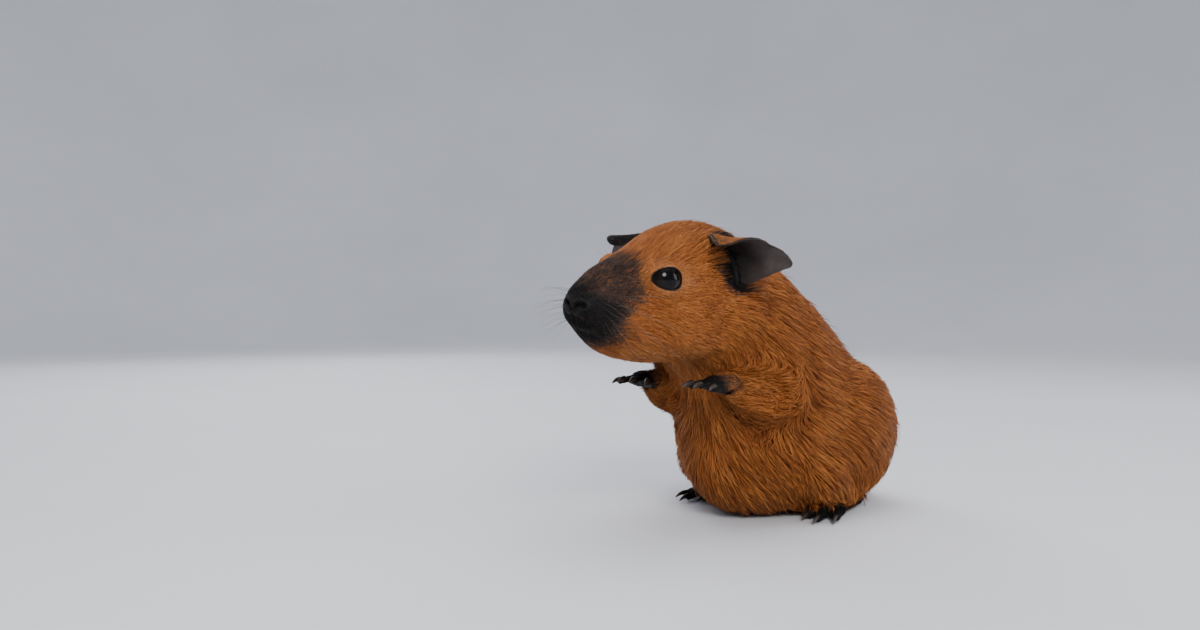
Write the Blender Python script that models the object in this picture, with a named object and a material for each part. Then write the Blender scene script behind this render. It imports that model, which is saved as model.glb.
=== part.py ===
"""A young smooth-coated guinea pig, life size, on its haunches with its forepaws held out under its chin.

Blender 4.5. Metres, +Z up. The animal faces -X and its left side is -Y. Every solid is the outer shape of
the coat. The body is modelled whole, as a union of lofts and muscle masses, and parted with thin cuts.
"""

import math

import bmesh
import bpy
import numpy as np
from mathutils import Euler, Matrix, Vector

MM = 0.001  # sizes below are in millimetres; meshes are made in metres

# Driving dimensions, in mm.
HEAD_LENGTH = 66.0  # nose tip to nape
HEAD_HEIGHT = 44.0  # crown to jaw, coat included
HEAD_WIDTH = 42.0  # across the cheeks
EYE_HEIGHT = 82.0  # of the eye's centre above the floor
TRUNK_LENGTH = 96.0  # nape to rump, measured level
TRUNK_WIDTH = 69.0  # at the loin
GAP = 0.3  # clearance between neighbouring solids

# How the head is carried, in degrees: turned to its right, and tipped down on its left.
HEAD_TURN = -4.0
HEAD_TILT = 7.0
HEAD_PIVOT = (60.0, 0.0, -6.0)  # where head meets neck, in head coordinates

# Head coordinates: x from the nose tip to the nape, z from the level of the eyes.
# Each row: x as a share of head length; top, widest level and bottom as shares of head height, from
# the eyes' level; half width as a share of head width.
HEAD_ROWS = (
    (0.00, -0.130, -0.195, -0.260, 0.076),
    (0.02, -0.075, -0.200, -0.310, 0.120),
    (0.06, -0.020, -0.205, -0.370, 0.150),
    (0.12, 0.050, -0.215, -0.445, 0.186),
    (0.19, 0.105, -0.220, -0.520, 0.229),
    (0.27, 0.150, -0.220, -0.565, 0.271),
    (0.34, 0.195, -0.215, -0.585, 0.310),
    (0.44, 0.285, -0.205, -0.605, 0.367),
    (0.54, 0.375, -0.195, -0.615, 0.419),
    (0.68, 0.425, -0.170, -0.615, 0.474),
    (0.82, 0.425, -0.140, -0.590, 0.495),
    (0.92, 0.390, -0.130, -0.557, 0.483),
    (1.00, 0.310, -0.120, -0.480, 0.417),
)
HEAD_SQUARENESS = (2.05, 2.4)  # powers of the upper and lower halves of a head ring

# Muscle masses of the head, on its left: centre and radii in head coordinates, in mm.
HEAD_MASSES = (
    ((8.6, -4.6, -9.8), (7.2, 4.9, 6.8)),  # whisker pad
    ((27.5, -10.0, 2.8), (8.6, 4.6, 4.4)),  # brow
    ((28.0, -10.6, -4.8), (8.0, 4.4, 4.0)),  # cheekbone under the eye
    ((43.0, -12.0, -11.5), (15.0, 9.0, 12.5)),  # cheek
    ((52.0, -11.5, 10.0), (9.0, 7.0, 6.5)),  # base of the ear
)

# Trunk, in row coordinates before centring. Each row: the dorsal point's x and z, the ventral point's x
# and z, as shares of trunk length from the nape and in mm above the floor, and the half width as a share
# of trunk width.
NAPE_X = 54.0
TRUNK_ROWS = (
    (-0.06, 98.0, -0.16, 60.0, 0.27),
    (0.12, 96.5, -0.07, 53.5, 0.32),
    (0.30, 89.5, 0.01, 42.0, 0.37),
    (0.47, 80.5, 0.07, 27.0, 0.42),
    (0.63, 69.5, 0.16, 9.0, 0.465),
    (0.78, 57.5, 0.33, -3.0, 0.49),
    (0.90, 44.5, 0.55, -3.5, 0.48),
    (0.975, 31.0, 0.77, -1.0, 0.40),
    (1.00, 20.0, 0.89, 4.0, 0.24),
    (0.99, 13.5, 0.955, 8.0, 0.07),
)
TRUNK_SQUARENESS = (2.3, 1.9)

# Limbs on the left, in row coordinates before centring: muscle masses as (centre, radii, pitch in degrees),
# then the bones' line as points with radii.
HIND_MASSES = (
    ((116.0, -23.0, 28.5), (27.5, 15.5, 25.5), 14.0),  # haunch
    ((95.0, -25.0, 17.0), (13.5, 9.5, 13.5), 0.0),  # knee
)
HIND_LINE = ((95.0, -27.0, 11.0, 6.5), (108.0, -26.0, 7.5, 6.0), (119.0, -23.5, 6.5, 4.8))
FORE_MASSES = (
    ((76.0, -17.5, 58.0), (15.0, 10.5, 16.0), 20.0),  # shoulder
)
FORE_LINE = (
    (76.0, -19.0, 54.0, 10.0),
    (73.0, -23.5, 42.0, 7.8),
    (64.0, -20.5, 43.0, 6.4),
    (52.5, -15.9, 47.0, 4.7),
)
BELLY = ((89.0, 0.0, 22.5), (29.5, 23.5, 24.5))

# Feet. A foot is built along -X from its wrist or heel, sole down at z 0, then placed and turned.
# Bones: points with radii. Each toe: root x, root y, tip x, tip y. The first toe is the innermost.
HIND_FOOT = {
    "heel": (119.5, -22.5, 0.0),
    "turn": 8.0,
    "rise": 0.0,
    "bones": ((1.0, 0.0, 3.7, 4.2), (-8.0, 0.0, 3.5, 4.1), (-17.0, 0.0, 3.3, 3.8), (-21.5, 0.0, 2.8, 3.3)),
    "toes": ((-19.0, 2.9, -29.0, 4.6), (-20.0, 0.0, -32.5, 0.0), (-19.0, -2.9, -29.0, -4.8)),
    "toe_height": 1.5,
    "toe_radius": 1.75,
    "claw_length": 4.2,
    "droop": 0.0,
    "width": 1.18,
}
FORE_FOOT = {
    "heel": (52.0, -15.6, 43.9),
    "turn": -8.0,
    "rise": 13.0,
    "bones": ((0.0, 0.0, 3.9, 3.6), (-4.0, 0.0, 3.6, 3.3), (-8.5, 0.0, 3.1, 3.1)),
    "toes": (
        (-7.0, 3.3, -13.0, 5.2),
        (-8.5, 1.2, -16.0, 2.0),
        (-8.5, -1.2, -16.0, -1.7),
        (-7.0, -3.3, -13.2, -5.0),
    ),
    "toe_height": 2.0,
    "toe_radius": 1.35,
    "claw_length": 3.2,
    "droop": 0.9,
    "width": 1.25,
}

# Eye: ball centre in head coordinates on the left, and radius.
EYE_CENTRE = (26.8, -10.3, 0.2)
EYE_RADIUS = 5.5

# Ear: root centre in head coordinates on the left, sizes, and how it is set.
EAR_ROOT = (49.5, -13.0, 12.6)
EAR_LENGTH = 27.0
EAR_WIDTH = 20.5
EAR_THICKNESS = 1.0
EAR_SUNK = 3.0  # length of the root that is held in the head
# Lean of the ear's plane, droop, and sweep to the rear, in degrees, of the left ear and of the right one.
EAR_TURN = {1: (-46.0, 20.0, 20.0), -1: (-34.0, 28.0, 8.0)}
EAR_TWIST = 42.0  # degrees that the tip leans more than the root

# Where the body is parted. Planes as (point, normal towards the rear); limbs as (centre, radii, pitch).
HEAD_CUT = ((62.0, 0.0, 72.0), (1.0, 0.0, -0.42))
NECK_CUT = ((77.0, 0.0, 66.0), (1.0, 0.0, -0.75))
HIND_CUT = ((110.0, -31.0, 24.0), (31.0, 17.0, 31.0), 14.0)
FORE_CUT = ((62.0, -19.5, 45.5), (22.5, 12.0, 11.5), 8.0)
FOOT_NEIGHBOUR = {"hind": "trunk", "fore": "head"}  # what a foot may touch besides its own leg

# Rings that close a tube's end: radius and distance past the end, as shares of the tube's radius.
TUBE_DOME = ((0.93, 0.36), (0.75, 0.66), (0.3, 0.95))

# Mesh densities.
BODY_VOXEL = 1.3
BODY_SMOOTHING = 14  # rounds
BODY_TRIANGLES = 2200
FOOT_VOXEL = 0.5
FOOT_SMOOTHING = 3
FOOT_TRIANGLES = 280
RING_POINTS = 42
HEAD_RINGS = 44
TRUNK_RINGS = 48
TUBE_STEP = 1.2
CLAW_SIDES = 6
EAR_STEPS = (10, 8)  # along it and across it

COLOURS = {
    "coat": ((0.42, 0.15, 0.035), 0.8),
    "dark_coat": ((0.02, 0.014, 0.012), 0.75),
    "ear_skin": ((0.045, 0.03, 0.028), 0.6),
    "eye": ((0.004, 0.004, 0.005), 0.06),
    "claw": ((0.03, 0.022, 0.018), 0.4),
}


def clear_scene():
    for obj in list(bpy.data.objects):
        bpy.data.objects.remove(obj, do_unlink=True)


def make_materials():
    made = {}
    for name, (colour, roughness) in COLOURS.items():
        material = bpy.data.materials.new(name)
        material.use_nodes = True
        shader = material.node_tree.nodes["Principled BSDF"]
        shader.inputs["Base Color"].default_value = (*colour, 1.0)
        shader.inputs["Roughness"].default_value = roughness
        made[name] = material
    return made


def hermite(knots, rows, at):
    """The rows interpolated at the given values by a cubic that passes through every knot."""
    knots, rows = np.array(knots, float), np.array(rows, float)
    slopes = np.gradient(rows, knots, axis=0)
    at = np.clip(np.asarray(at, float), knots[0], knots[-1])
    i = np.clip(np.searchsorted(knots, at, side="right") - 1, 0, len(knots) - 2)
    span = (knots[i + 1] - knots[i])[:, None]
    t = (at[:, None] - knots[i][:, None]) / span
    return (
        (2 * t**3 - 3 * t**2 + 1) * rows[i]
        + (t**3 - 2 * t**2 + t) * span * slopes[i]
        + (3 * t**2 - 2 * t**3) * rows[i + 1]
        + (t**3 - t**2) * span * slopes[i + 1]
    )


def ring(centre, side, up, down, powers):
    """A closed ring of points about a centre. Its upper and lower halves are superellipses of their own."""
    points = []
    for k in range(RING_POINTS):
        angle = 2 * math.pi * k / RING_POINTS
        across, rise = math.cos(angle), math.sin(angle)
        half, power = (up, powers[0]) if rise >= 0 else (down, powers[1])
        across = math.copysign(abs(across) ** (2 / power), across)
        points.append(centre + side * across + half * abs(rise) ** (2 / power))
    return points


def mesh_from_rings(rings):
    """One closed mesh through a row of rings, with its two ends capped."""
    bm = bmesh.new()
    loops = [[bm.verts.new(point * MM) for point in points] for points in rings]
    for near, far in zip(loops, loops[1:]):
        for k in range(len(near)):
            n = (k + 1) % len(near)
            bm.faces.new((near[k], near[n], far[n], far[k]))
    bm.faces.new(loops[0])
    bm.faces.new(loops[-1])
    bmesh.ops.recalc_face_normals(bm, faces=bm.faces)
    mesh = bpy.data.meshes.new("rings")
    bm.to_mesh(mesh)
    bm.free()
    return mesh


def ellipsoid(centre, radii, pitch=0.0, turn=None, fineness=3):
    """A mesh ball with three radii, pitched about Y, and carried by a further matrix if one is given."""
    bm = bmesh.new()
    bmesh.ops.create_icosphere(bm, subdivisions=fineness, radius=MM)
    place = Matrix.Translation(Vector(centre) * MM)
    place = place @ Matrix.Rotation(math.radians(pitch), 4, "Y") @ Matrix.Diagonal((*radii, 1.0))
    bmesh.ops.transform(bm, matrix=(turn or Matrix.Identity(4)) @ place, verts=bm.verts)
    mesh = bpy.data.meshes.new("ball")
    bm.to_mesh(mesh)
    bm.free()
    return mesh


def dome(inner, centre, radius):
    """The rows that round off a tube past its end centre, outwards from the centre before it."""
    outwards = (centre - inner).normalized() * radius
    return [(centre + outwards * reach, radius * share) for share, reach in TUBE_DOME]


def tube(line, squash=1.0):
    """A round tube with domed ends through points with radii. Squash widens it across Y."""
    line = np.array(line, float)
    steps = np.linalg.norm(np.diff(line[:, :3], axis=0), axis=1)
    knots = np.concatenate(([0.0], np.cumsum(steps)))
    count = max(6, int(knots[-1] / TUBE_STEP))
    rows = [(Vector(row[:3]), row[3]) for row in hermite(knots, line, np.linspace(0, knots[-1], count))]
    rows = dome(rows[1][0], *rows[0])[::-1] + rows + dome(rows[-2][0], *rows[-1])
    rings = []
    for k, (centre, radius) in enumerate(rows):
        ahead = (rows[min(k + 1, len(rows) - 1)][0] - rows[max(k - 1, 0)][0]).normalized()
        side = Vector((0, 0, 1)).cross(ahead).normalized() * radius
        up = ahead.cross(side)
        rings.append(ring(centre, side * squash, up, -up, (2, 2)))
    return mesh_from_rings(rings)


def head_matrix():
    """Carries head coordinates, in metres, to the row frame before centring."""
    pivot = Vector(HEAD_PIVOT) * MM
    turn = Euler((math.radians(HEAD_TILT), 0.0, math.radians(HEAD_TURN))).to_matrix().to_4x4()
    lift = Matrix.Translation(Vector((0, 0, EYE_HEIGHT * MM)))
    return lift @ Matrix.Translation(pivot) @ turn @ Matrix.Translation(-pivot)


def head_mesh():
    table = np.array(HEAD_ROWS)
    steps = np.linspace(0, 1, HEAD_RINGS) ** 1.5  # closer together at the muzzle
    rings = []
    for x, (top, middle, bottom, half) in zip(steps, hermite(table[:, 0], table[:, 1:], steps)):
        centre = Vector((x * HEAD_LENGTH, 0, middle * HEAD_HEIGHT))
        up = Vector((0, 0, (top - middle) * HEAD_HEIGHT))
        down = Vector((0, 0, (bottom - middle) * HEAD_HEIGHT))
        side = Vector((0, half * HEAD_WIDTH, 0))
        rings.append(ring(centre, side, up, down, HEAD_SQUARENESS))
    return mesh_from_rings(rings)


def trunk_mesh():
    table = np.array(TRUNK_ROWS)
    knots = np.arange(len(table), dtype=float)
    rings = []
    for xd, zd, xv, zv, half in hermite(knots, table, np.linspace(0, knots[-1], TRUNK_RINGS)):
        dorsal = Vector((NAPE_X + xd * TRUNK_LENGTH, 0, zd))
        ventral = Vector((NAPE_X + xv * TRUNK_LENGTH, 0, zv))
        centre = dorsal.lerp(ventral, 0.52)
        side = Vector((0, half * TRUNK_WIDTH, 0))
        rings.append(ring(centre, side, dorsal - centre, ventral - centre, TRUNK_SQUARENESS))
    return mesh_from_rings(rings)


def mirrored(mesh):
    copy = mesh.copy()
    copy.transform(Matrix.Diagonal((1, -1, 1, 1)))
    copy.flip_normals()
    return copy


def joined(name, meshes):
    """One object that holds all the meshes, still overlapping."""
    bm = bmesh.new()
    for mesh in meshes:
        bm.from_mesh(mesh)
    whole = bpy.data.meshes.new(name)
    bm.to_mesh(whole)
    bm.free()
    obj = bpy.data.objects.new(name, whole)
    bpy.context.scene.collection.objects.link(obj)
    return obj


def apply_modifiers(obj):
    """Replaces the object's mesh with its evaluated mesh."""
    bpy.context.view_layer.update()
    evaluated = obj.evaluated_get(bpy.context.evaluated_depsgraph_get())
    mesh = bpy.data.meshes.new_from_object(evaluated)
    obj.modifiers.clear()
    obj.data = mesh
    return obj


def fused(obj, voxel, rounds, triangles):
    """Unites overlapping shapes into one smooth closed body of about the given number of triangles."""
    remesh = obj.modifiers.new("unite", "REMESH")
    remesh.mode = "VOXEL"
    remesh.voxel_size = voxel * MM
    smooth = obj.modifiers.new("soften", "SMOOTH")
    smooth.factor = 0.5
    smooth.iterations = rounds
    apply_modifiers(obj)
    thin = obj.modifiers.new("thin_out", "DECIMATE")
    thin.ratio = triangles / (2 * len(obj.data.polygons))
    return apply_modifiers(obj)


def boolean(obj, other, operation):
    modifier = obj.modifiers.new(operation.lower(), "BOOLEAN")
    modifier.operation = operation
    modifier.object = other
    modifier.solver = "EXACT"
    apply_modifiers(obj)
    return obj


def copied(obj, name):
    copy = bpy.data.objects.new(name, obj.data.copy())
    bpy.context.scene.collection.objects.link(copy)
    return copy


def grown(obj, by):
    """A copy of the object with its surface moved out by the given number of mm."""
    copy = copied(obj, obj.name + "_grown")
    normals = [vertex.normal.copy() for vertex in copy.data.vertices]
    for vertex, normal in zip(copy.data.vertices, normals):
        vertex.co += normal * by * MM
    return copy


def removed(*objects):
    for obj in objects:
        bpy.data.objects.remove(obj, do_unlink=True)


def cut_away(obj, other):
    """Takes the other object and the gap around it out of this one."""
    cutter = grown(other, GAP)
    boolean(obj, cutter, "DIFFERENCE")
    removed(cutter)


def keep_side(obj, point, normal):
    """Keeps the part of a solid on the side of a plane that the normal points to, less half the gap."""
    bm = bmesh.new()
    bm.from_mesh(obj.data)
    normal = Vector(normal).normalized()
    geometry = [*bm.verts, *bm.edges, *bm.faces]
    at = (Vector(point) + normal * GAP / 2) * MM
    cut = bmesh.ops.bisect_plane(bm, geom=geometry, plane_co=at, plane_no=normal, clear_inner=True)
    rim = [item for item in cut["geom_cut"] if isinstance(item, bmesh.types.BMEdge)]
    bmesh.ops.holes_fill(bm, edges=rim)
    bmesh.ops.triangulate(bm, faces=[face for face in bm.faces if len(face.verts) > 4])
    bmesh.ops.recalc_face_normals(bm, faces=bm.faces)
    bm.to_mesh(obj.data)
    bm.free()
    return obj


def largest_piece(obj):
    """Drops the small loose bits that a cut may leave."""
    bm = bmesh.new()
    bm.from_mesh(obj.data)
    left, pieces = set(bm.verts), []
    while left:
        todo, piece = [left.pop()], []
        while todo:
            vert = todo.pop()
            piece.append(vert)
            near = {edge.other_vert(vert) for edge in vert.link_edges} & left
            left -= near
            todo += near
        pieces.append(piece)
    pieces.sort(key=len)
    bmesh.ops.delete(bm, geom=[vert for piece in pieces[:-1] for vert in piece], context="VERTS")
    bm.to_mesh(obj.data)
    bm.free()
    return obj


def flesh_mesh_list():
    """The overlapping shapes of head, neck, trunk and legs."""
    head = head_matrix()
    shapes = [head_mesh()]
    for centre, radii in HEAD_MASSES:
        left = ellipsoid(centre, radii)
        shapes += [left, mirrored(left)]
    for mesh in shapes:
        mesh.transform(head)
    shapes += [trunk_mesh(), ellipsoid(*BELLY)]
    for centre, radii, pitch in HIND_MASSES + FORE_MASSES:
        left = ellipsoid(centre, radii, pitch)
        shapes += [left, mirrored(left)]
    for line in (HIND_LINE, FORE_LINE):
        left = tube(line)
        shapes += [left, mirrored(left)]
    return shapes


def foot_matrix(plan):
    turn = Matrix.Rotation(math.radians(plan["turn"]), 4, "Z")
    rise = Matrix.Rotation(math.radians(plan["rise"]), 4, "Y")
    return Matrix.Translation(Vector(plan["heel"]) * MM) @ turn @ rise


def make_foot(name, plan, side):
    """The foot's bones and toes as one solid. Side is 1 on the left and -1 on the right."""
    shapes = [tube(plan["bones"], plan["width"])]
    height, radius = plan["toe_height"], plan["toe_radius"]
    for x0, y0, x1, y1 in plan["toes"]:
        knuckle = ((x0 + x1) / 2, (y0 + y1) / 2, height + 0.5 * radius)
        tip = (x1, y1, height - plan["droop"])
        shapes.append(tube([(x0, y0, height, radius * 1.15), (*knuckle, radius), (*tip, radius * 0.86)]))
    foot = joined(name, shapes)
    fused(foot, FOOT_VOXEL, FOOT_SMOOTHING, FOOT_TRIANGLES)
    keep_side(foot, (0, 0, -GAP / 2 if plan is HIND_FOOT else -20), (0, 0, 1))
    place_on_side(foot, foot_matrix(plan), side)
    return largest_piece(foot)


def place_on_side(obj, matrix, side):
    """Moves a left piece to its place, and across the middle if it belongs on the right."""
    obj.data.transform(matrix)
    if side < 0:
        obj.data = mirrored(obj.data)


def make_claw(name, plan, toe, side):
    """A curved, tapered claw that starts a gap ahead of the toe's tip."""
    x0, y0, x1, y1 = toe
    ahead = Vector((x1 - x0, y1 - y0, 0)).normalized()
    tip_radius = plan["toe_radius"] * 0.86
    start = Vector((x1, y1, plan["toe_height"] - plan["droop"] + 0.1)) + ahead * (tip_radius * 0.8 + GAP)
    length = plan["claw_length"] - 1.0
    rings = []
    for step in range(5):
        share = step / 4
        radius = 0.72 * (1 - share) ** 0.7 + 0.16
        drop = -0.7 * share**2
        centre = start + ahead * length * share + Vector((0, 0, drop))
        sideways = Vector((0, 0, 1)).cross(ahead) * radius * 0.8
        up = Vector((0, 0, radius))
        rings.append(ring(centre, sideways, up, -up, (2, 2))[:: RING_POINTS // CLAW_SIDES])
    claw = joined(name, [mesh_from_rings(rings)])
    place_on_side(claw, foot_matrix(plan), side)
    return claw


def ear_point(u, v, lift):
    """A point of the ear, u from root to tip and v from the front edge to the rear one, both across a cup.

    The outline is a petal. The front edge rolls over the cup, and the outer half twists and droops. Lift
    is the distance from the middle of the ear's thickness.
    """
    half = EAR_WIDTH / 2 * (0.50 + 0.50 * math.sin(math.pi * min(1.0, u * 1.05) ** 0.8))
    half *= (1 - u**3.0) ** 0.6
    bend = 1.05 - 0.65 * u  # radians that each half of the cup turns through
    roll = 0.55 * math.sin(math.pi * min(1.0, u * 1.45)) if v < 0 else 0.0
    angle = v * (bend + roll * abs(v))
    radius = half / bend
    across = radius * math.sin(angle)
    depth = -radius * (1 - math.cos(angle)) - 2.0 * max(0.0, u - 0.35) ** 1.6
    share = min(1.0, max(0.0, (u - 0.3) / 0.6))
    twist = Matrix.Rotation(-math.radians(EAR_TWIST) * share * share * (3 - 2 * share), 3, "X")
    normal = Vector((0, math.sin(angle), math.cos(angle)))
    return twist @ (Vector((u * EAR_LENGTH, across, depth)) + normal * lift)


def make_ear(name, side, thickness):
    """The ear as a closed cupped petal, sunk in the head at its root."""
    steps, columns = EAR_STEPS
    bm = bmesh.new()
    outer, inner = [], []
    for k in range(steps + 1):
        u = k / steps * 0.985
        edge = [2 * j / columns - 1 for j in range(columns + 1)]
        outer.append([bm.verts.new(ear_point(u, v, thickness / 2) * MM) for v in edge])
        inner.append([bm.verts.new(ear_point(u, v, -thickness / 2) * MM) for v in edge])
    for layer in (outer, inner):
        for near, far in zip(layer, layer[1:]):
            for j in range(columns):
                bm.faces.new((near[j], near[j + 1], far[j + 1], far[j]))
    rims = []
    for layer in (outer, inner):
        front, rear = [row[0] for row in layer], [row[-1] for row in layer[::-1]]
        rims.append(front + layer[-1][1:-1] + rear + layer[0][-2:0:-1])
    rim_out, rim_in = rims
    for k in range(len(rim_out)):
        n = (k + 1) % len(rim_out)
        bm.faces.new((rim_out[k], rim_out[n], rim_in[n], rim_in[k]))
    bmesh.ops.recalc_face_normals(bm, faces=bm.faces)
    mesh = bpy.data.meshes.new(name)
    bm.to_mesh(mesh)
    bm.free()
    mesh.transform(ear_matrix(side))
    if side < 0:
        mesh = mirrored(mesh)
    mesh.transform(head_matrix())
    return joined(name, [mesh])


def ear_matrix(side):
    """Carries the ear from its own frame, lying along +X with its cup down, to the head's left side."""
    lean, droop, sweep = (math.radians(angle) for angle in EAR_TURN[side])
    out = Matrix.Rotation(math.radians(-90) + sweep, 4, "Z")
    turn = out @ Matrix.Rotation(droop, 4, "Y") @ Matrix.Rotation(lean, 4, "X")
    back = Matrix.Translation(Vector((-EAR_SUNK * MM, 0, 0)))
    return Matrix.Translation(Vector(EAR_ROOT) * MM) @ turn @ back


def make_eye(name, side):
    centre = (EYE_CENTRE[0], side * EYE_CENTRE[1], EYE_CENTRE[2])
    return joined(name, [ellipsoid(centre, (EYE_RADIUS,) * 3, turn=head_matrix())])


def split_by_ball(obj, name, centre, radii, pitch):
    """Parts a limb from the body: the limb is what lies in the ball, and the body keeps the rest."""
    cutter = joined("cutter", [ellipsoid(centre, radii, pitch, fineness=2)])
    wide = joined("wide_cutter", [ellipsoid(centre, [radius + GAP for radius in radii], pitch, fineness=2)])
    limb = copied(obj, name)
    boolean(limb, cutter, "INTERSECT")
    boolean(obj, wide, "DIFFERENCE")
    removed(cutter, wide)
    largest_piece(obj)
    return largest_piece(limb)


def part_body(body):
    """Cuts the fused body into head, neck, trunk and the four legs."""
    pieces = {}
    for side_name, side in (("left", 1), ("right", -1)):
        for leg, (centre, radii, pitch) in (("hindleg", HIND_CUT), ("foreleg", FORE_CUT)):
            name = f"{leg}_{side_name}"
            placed = (centre[0], side * centre[1], centre[2])
            pieces[name] = split_by_ball(body, name, placed, radii, pitch)
    head_at, head_way = HEAD_CUT
    neck_at, neck_way = NECK_CUT
    pieces["head"] = keep_side(copied(body, "head"), head_at, -Vector(head_way))
    neck = keep_side(copied(body, "neck"), head_at, head_way)
    pieces["neck"] = keep_side(neck, neck_at, -Vector(neck_way))
    pieces["trunk"] = keep_side(copied(body, "trunk"), neck_at, neck_way)
    removed(body)
    return pieces


def build():
    clear_scene()
    materials = make_materials()
    body = fused(joined("body", flesh_mesh_list()), BODY_VOXEL, BODY_SMOOTHING, BODY_TRIANGLES)
    nodes = part_body(body)
    for name in ("trunk", "hindleg_left", "hindleg_right"):
        keep_side(nodes[name], (0, 0, -GAP / 2), (0, 0, 1))
    for side_name, side in (("left", 1), ("right", -1)):
        for leg, plan in (("hind", HIND_FOOT), ("fore", FORE_FOOT)):
            foot = make_foot(f"{leg}foot_{side_name}", plan, side)
            for neighbour in (f"{leg}leg_{side_name}", FOOT_NEIGHBOUR[leg]):
                cut_away(nodes[neighbour], foot)
            nodes[foot.name] = foot
            for count, toe in enumerate(plan["toes"], 1):
                claw = make_claw(f"claw_{leg}_{side_name}_{count}", plan, toe, side)
                nodes[claw.name] = claw
        eye = make_eye(f"eye_{side_name}", side)
        cut_away(nodes["head"], eye)
        nodes[eye.name] = eye
        ear = make_ear(f"ear_{side_name}", side, EAR_THICKNESS)
        socket = make_ear("socket", side, EAR_THICKNESS + 2 * GAP)
        for neighbour in ("head", "neck"):
            cut_away(nodes[neighbour], socket)
        removed(socket)
        nodes[ear.name] = ear
    for name in ("head", "neck", "trunk"):
        largest_piece(nodes[name])
    finish(nodes, materials)


def material_name(node):
    if node.startswith("claw"):
        return "claw"
    if node.startswith("eye"):
        return "eye"
    if node.startswith("ear"):
        return "ear_skin"
    if "foot" in node:
        return "dark_coat"
    return "coat"


def finish(nodes, materials):
    """Centres the animal over the origin and gives each node its material."""
    points = np.array([vertex.co for obj in nodes.values() for vertex in obj.data.vertices])
    middle = (points.min(axis=0) + points.max(axis=0)) / 2
    shift = Matrix.Translation((-middle[0], -middle[1], 0))
    for name, obj in nodes.items():
        obj.data.transform(shift)
        obj.name = name
        obj.data.name = name
        obj.data.materials.clear()
        obj.data.materials.append(materials[material_name(name)])
        obj.data.shade_smooth()


build()
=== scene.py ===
"""The looks of the guinea pig: one skin under a coat of mesh tufts, with eyes, claws and whiskers.

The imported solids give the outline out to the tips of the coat. The skin lies inside them by the coat's depth,
and the tufts fill what is between. Head coordinates, in mm, are x back from the nose tip, y to the animal's
right and z up from the level of the eyes.
"""

import math

import bmesh
import bpy
import numpy as np
from mathutils import Euler, Matrix, Vector
from mathutils.bvhtree import BVHTree
from mathutils.kdtree import KDTree


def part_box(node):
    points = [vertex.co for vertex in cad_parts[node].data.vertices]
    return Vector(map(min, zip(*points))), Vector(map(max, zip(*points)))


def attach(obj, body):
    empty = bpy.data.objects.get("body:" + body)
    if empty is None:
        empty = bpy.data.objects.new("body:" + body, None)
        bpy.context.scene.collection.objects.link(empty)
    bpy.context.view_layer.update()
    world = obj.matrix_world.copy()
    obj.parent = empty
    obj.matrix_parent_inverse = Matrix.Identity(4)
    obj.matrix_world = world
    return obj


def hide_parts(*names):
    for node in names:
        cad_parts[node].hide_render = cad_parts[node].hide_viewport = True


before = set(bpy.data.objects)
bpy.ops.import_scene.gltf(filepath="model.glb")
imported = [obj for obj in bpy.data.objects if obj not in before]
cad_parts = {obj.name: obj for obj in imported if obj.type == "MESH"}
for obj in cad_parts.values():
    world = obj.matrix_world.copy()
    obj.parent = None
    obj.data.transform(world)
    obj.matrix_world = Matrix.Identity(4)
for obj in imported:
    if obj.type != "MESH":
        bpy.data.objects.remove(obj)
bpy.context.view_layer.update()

MM = 0.001
random = np.random.default_rng(11)

SIDES = (("left", 1), ("right", -1))
LIMBS = [f"{limb}_{side}" for limb in ("foreleg", "forefoot", "hindleg", "hindfoot") for side, _ in SIDES]
FLESH = ["head", "neck", "trunk", *LIMBS]

# The head's carriage and landmarks, as in the CAD source: degrees, and head coordinates of the left side.
HEAD_TURN = -4.0
HEAD_TILT = 7.0
EYE_CENTRE = (26.8, -10.3, 0.2)
EYE_RADIUS = 5.5
EAR_ROOT = (49.5, -13.0, 12.6)
# Lean of the ear's plane, droop, and sweep to the rear, of the left ear and of the right one.
EAR_TURN = {1: (-46.0, 20.0, 20.0), -1: (-34.0, 28.0, 8.0)}
EAR_TWIST = 42.0  # degrees that the tip leans more than the root
EAR_LENGTH = 27.0
EAR_WIDTH = 20.5
EAR_SUNK = 3.0
EAR_GRID = (56, 44)  # rows and columns of points
EAR_EDGE_SHADE = {1: 0.0, -1: 0.9}  # how dark the hair is on an ear's front edge, by side: only the far right ear's edge is darkened, as painted shade
EAR_FUR_AND_SHADE_LINE = ((44.5, -14.0, 12.4), (48.0, -17.0, 8.0), (51.0, -18.5, 2.5))  # line of dark hair at its root, carried on down under the ear as painted shade

# The skin's mesh.
JOINING = 0.3  # mm that each solid grows by, so that the cuts between them close
EYE_FILL = 0.6  # mm that the ball in an eye's socket is larger than the eye
EAR_FILL = ((0.5, 0.0, -1.5), (7.5, 4.0, 4.0))  # place from the ear's root, and radii, of its socket's ball
SKIN_VOXEL = 0.5
SKIN_ROUNDS = 12
SKIN_FLOOR = 0.25  # mm from the floor to the skin
INSET_STEPS = 4
TOE_LENGTHS = {"fore": 9.0, "hind": 13.0}  # mm from the claws to the roots of the toes
TOE_THINNING = 0.35  # mm that the toes shrink by, for their hair
SKIN_TRIANGLES = 150000
GUIDE_TRIANGLES = 30000

CLAW_SUNK = 1.3  # mm that a claw's root goes into its toe
CLAW_RINGS = 14
CLAW_SIDES = 12

# The opening between the lids: half length and half height in mm, and the way it faces, in head coordinates.
LID_LENGTH = 5.0
LID_HEIGHT = 3.4
LID_LOWER = 0.94  # height of its lower half, as a share of the upper half's
LID_OUT = (-0.30, -0.94, 0.14)
LID_RADIUS = EYE_RADIUS + 0.24
LID_POWERS = (2.1, 2.0)  # of its outline, along and across
NEAR_EYE = 9.0  # mm from an eye's centre within which the skin belongs to its lids

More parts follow.
